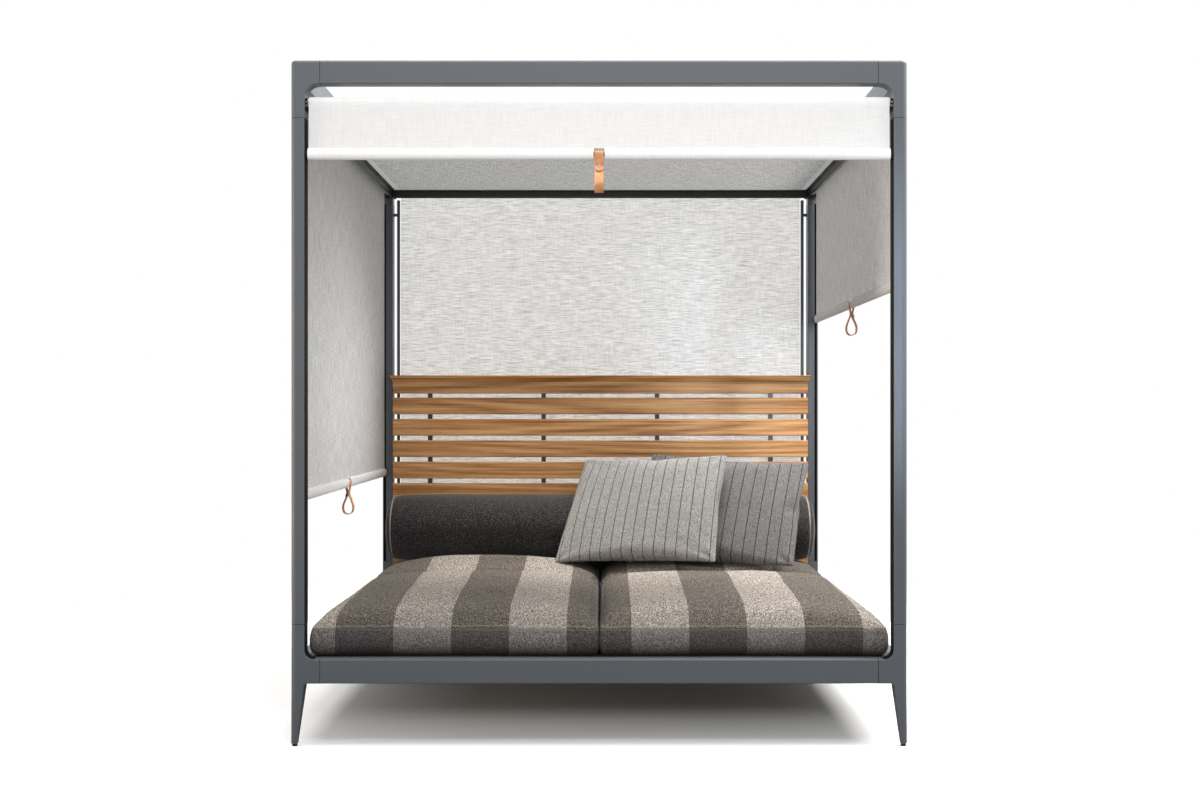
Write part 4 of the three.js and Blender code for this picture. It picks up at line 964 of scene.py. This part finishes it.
def pillow(name, node, place, lean, yaw, roll, material, seed, tucked, lifted):
    """A pillow blown up by a cloth simulation; tucked and lifted draw its lower corners."""
    obj = finish_piece(name, skin_box((90, 66, 2)), material, "daybed", 80)
    p, q, w = places(obj.data).T
    x, y = p * PANEL_X, q * PANEL_Y
    full = np.clip((1 - p**2) * (1 - q**2), 0, 1) ** 0.42
    z = w * (PANEL_RIM + PANEL_FULL * full)
    uneven = ripples(seed, x + 0.3 * y, 0.08, 0.2) + ripples(seed + 1, y - 0.2 * x, 0.08, 0.2)
    z = z + 0.0015 * full * uneven
    move_to(obj.data, x, y, z)
    keep_value(obj, "across_m", x + PIN_SHIFT)
    cloth = obj.modifiers.new("cloth", "CLOTH")
    rules = cloth.settings
    rules.quality, rules.mass = 7, 0.25
    rules.tension_stiffness = rules.compression_stiffness = 60
    rules.shear_stiffness, rules.bending_stiffness = 24, 0.1
    rules.use_pressure, rules.uniform_pressure_force = True, 0.9
    rules.effector_weights.gravity = 0
    cloth.collision_settings.use_collision = False
    cloth.point_cache.frame_start, cloth.point_cache.frame_end = 1, PUFF_STEPS
    for number in range(1, PUFF_STEPS + 1):
        scene.frame_set(number)
    blown = obj.evaluated_get(bpy.context.evaluated_depsgraph_get()).data
    bm = bmesh.new()
    bm.from_mesh(blown)
    for _ in range(SMOOTH_STEPS):
        bmesh.ops.smooth_vert(
            bm, verts=bm.verts, factor=0.5, use_axis_x=True, use_axis_y=True, use_axis_z=True
        )
    x, y, z = np.array([vert.co[:] for vert in bm.verts]).T
    bm.free()
    obj.modifiers.clear()
    in_x = PILLOW_WIDE / 2 - np.abs(x) * PILLOW_WIDE / np.ptp(x)
    in_y = PILLOW_TALL / 2 - np.abs(y) * PILLOW_TALL / np.ptp(y)
    round_corner = np.arctan2(np.maximum(in_y, 0), np.maximum(in_x, 1e-6))
    near_corner = np.exp(-(((np.hypot(in_x, in_y) - CORNER_FOLD_AT) / CORNER_FOLD_WIDE) ** 2))
    z = z + CORNER_FOLD * np.sin(8 * round_corner) * near_corner
    x = x * PILLOW_WIDE / np.ptp(x)
    y = y * PILLOW_TALL / np.ptp(y) + PILLOW_TALL / 2
    z = z * min(1.0, PILLOW_THICK / np.ptp(z))
    x = x + tucked * np.clip(0.5 - p / 2, 0, 1) ** 2 * np.clip(0.5 + q / 2, 0, 1) ** 1.5
    y = y + lifted * np.abs(p) ** 3 * np.clip(0.5 - q / 2, 0, 1) ** 2
    move_to(obj.data, x, y, z)
    obj.data.transform(
        Matrix.Translation(place)
        @ Matrix.Rotation(radians(yaw), 4, "Z")
        @ Matrix.Rotation(radians(90 - lean), 4, "X")
        @ Matrix.Rotation(radians(roll), 4, "Z")
    )
    finer = obj.modifiers.new("finer", "SUBSURF")
    finer.levels = finer.render_levels = 1
    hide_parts(node)


pillow(
    "pillow_front", "pillow_pale", (0.136, 0.2372, 0.4557), 33, -22, 3.2,
    pinstriped("pale_pinstripe", [
        (0.10, 0.098, 0.096, 1), (0.23, 0.227, 0.222, 1), (0.44, 0.434, 0.425, 1)
    ], (0.020, 0.019, 0.022, 1)),
    71, 0.055, 0.004,
)
pillow(
    "pillow_behind", "pillow_dark", (0.452, 0.2587, 0.4524), 33, -18, -3,
    pinstriped("dark_pinstripe", [
        (0.058, 0.056, 0.056, 1), (0.130, 0.127, 0.128, 1), (0.245, 0.240, 0.242, 1)
    ], (0.008, 0.008, 0.009, 1)),
    81, 0.0, 0.022,
)

# Stage: a pale floor that keeps the shadow near the daybed and clears to the white backdrop
# further out, soft lamps above, before and behind, and the camera. For the camera's rays alone
# the floor glows toward the front and the left, a painted light that lifts the shadow there.
FLOOR_R, FLOOR_DROP = 6, 0.0005
FLOOR_CLEAR_FROM, FLOOR_CLEAR_TO, FLOOR_LIFT = 1.9, 3.4, 0.002
LIFT_FRONT_FROM, LIFT_FRONT, LIFT_LEFT_FROM, LIFT_LEFT = -0.32, 0.34, -0.45, 0.12
bm = bmesh.new()
bmesh.ops.create_circle(bm, cap_ends=True, segments=96, radius=FLOOR_R)
bmesh.ops.translate(bm, vec=(0, 0, -FLOOR_DROP), verts=list(bm.verts))
floor_mesh = bpy.data.meshes.new("floor")
bm.to_mesh(floor_mesh)
bm.free()
floor = bpy.data.objects.new("floor", floor_mesh)
scene.collection.objects.link(floor)
floor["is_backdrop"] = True
floor_white, tree, shader = new_material("floor_white")
tree.nodes.remove(shader)
path = new_node(tree, "LightPath").outputs["Is Camera Ray"]
matte = new_node(
    tree, "BsdfDiffuse", Color=mixed(tree, path, (0.22, 0.22, 0.22, 1), (0.86, 0.86, 0.86, 1))
)
x, y, _ = object_axes(tree)
ahead = maths(tree, "MAXIMUM", maths(tree, "SUBTRACT", LIFT_FRONT_FROM, y), 0)
aside = maths(tree, "MAXIMUM", maths(tree, "SUBTRACT", LIFT_LEFT_FROM, x), 0)
painted_floor_light = maths(tree, "MULTIPLY", ahead, LIFT_FRONT)
painted_floor_light = maths(tree, "ADD", painted_floor_light, maths(tree, "MULTIPLY", aside, LIFT_LEFT))
painted_floor_light = maths(tree, "MULTIPLY", path, maths(tree, "ADD", painted_floor_light, FLOOR_LIFT))
lift = new_node(tree, "Emission", Strength=painted_floor_light)
lit = new_node(tree, "AddShader")
tree.links.new(matte.outputs[0], lit.inputs[0])
tree.links.new(lift.outputs[0], lit.inputs[1])
distance = new_node(tree, "VectorMath")
distance.operation = "LENGTH"
tree.links.new(object_place(tree), distance.inputs[0])
fade = ranged(tree, distance.outputs["Value"], FLOOR_CLEAR_FROM, FLOOR_CLEAR_TO)
fade.node.interpolation_type = "SMOOTHSTEP"
clear = new_node(tree, "BsdfTransparent")
surface = blended(tree, fade, lit.outputs[0], clear.outputs[0])
tree.links.new(surface, tree.nodes["Material Output"].inputs["Surface"])
paint(floor, floor_white)

AMBIENT = 0.42
scene.world = scene.world or bpy.data.worlds.new("studio")
scene.world.use_nodes = True
tree = scene.world.node_tree
tree.nodes.clear()
path = new_node(tree, "LightPath")
ambient = new_node(tree, "Background", Color=(1.0, 0.985, 0.97, 1), Strength=AMBIENT)
backdrop = new_node(tree, "Background", Color=(1, 1, 1, 1))
seen = maths(tree, "MAXIMUM", path.outputs["Is Glossy Ray"], path.outputs["Is Transmission Ray"])
seen = maths(tree, "MAXIMUM", path.outputs["Is Camera Ray"], seen)
out = new_node(tree, "OutputWorld")
tree.links.new(blended(tree, seen, ambient.outputs[0], backdrop.outputs[0]), out.inputs[0])


def lamp(name, location, target, size, energy, color=(1, 1, 1), spread=180):
    """A rectangle of light aimed at a target, which the camera doesn't see."""
    data = bpy.data.lights.new(name, "AREA")
    data.shape = "RECTANGLE"
    data.size, data.size_y = size
    data.energy, data.color, data.spread = energy, color, radians(spread)
    holder = bpy.data.objects.new(name, data)
    holder.location = location
    holder.rotation_euler = (
        (Vector(target) - Vector(location)).to_track_quat("-Z", "Y").to_euler()
    )
    holder.visible_camera = False
    scene.collection.objects.link(holder)


lamp("key_right", (3.1, -0.3, 4.2), (0.4, 0.2, 0.6), (2.4, 2.0), 290, (1.0, 0.98, 0.95))
lamp("front_high", (0, -2.4, 3.9), (0, -0.8, 2.1), (3.2, 0.6), 41)
lamp("fill_front", (0.7, -5.2, 2.4), (0.1, 0, 0.9), (4.0, 1.4), 53)
lamp("under_roof", (0, 0.42, 2.0), (0, 0.26, 0), (1.6, 0.3), 6.5, (1.0, 0.96, 0.90), 55)
lamp("sky", (0, 0.3, 6.0), (0, 0, 0), (6.5, 5.5), 480)
lamp("roof_bounce", (0, 0, 2.115), (0, 0, 4), (1.75, 1.45), 13, (1.0, 0.82, 0.62))
lamp("backlight", (0, 5.0, 2.6), (0, 0.8, 1.5), (4.0, 2.5), 40)
lamp("left_inside", (0.80, 0.50, 1.35), (-0.95, -0.15, 1.08), (0.4, 0.6), 3.0, (1, 1, 1), 55)
lamp("left_edge", (-4.2, -1.3, 1.3), (-1.0, -0.83, 1.25), (0.5, 2.2), 8.5, (1.0, 0.82, 0.62), 40)
lamp("right_edge", (1.75, -3.9, 1.35), (0.99, -0.83, 1.35), (0.3, 0.9), 1.0, (0.70, 0.86, 1.0), 12)

lens = bpy.data.cameras.new("camera")
lens.lens, lens.sensor_width = 35.598, 36
lens.shift_x, lens.shift_y = -0.00283, 0.00833
camera = bpy.data.objects.new("camera", lens)
camera.location = (0.014, -4.67, 1.089)
camera.rotation_euler = (radians(90), 0, 0)
scene.collection.objects.link(camera)
scene.camera = camera
scene.view_settings.view_transform = "Standard"

low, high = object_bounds()
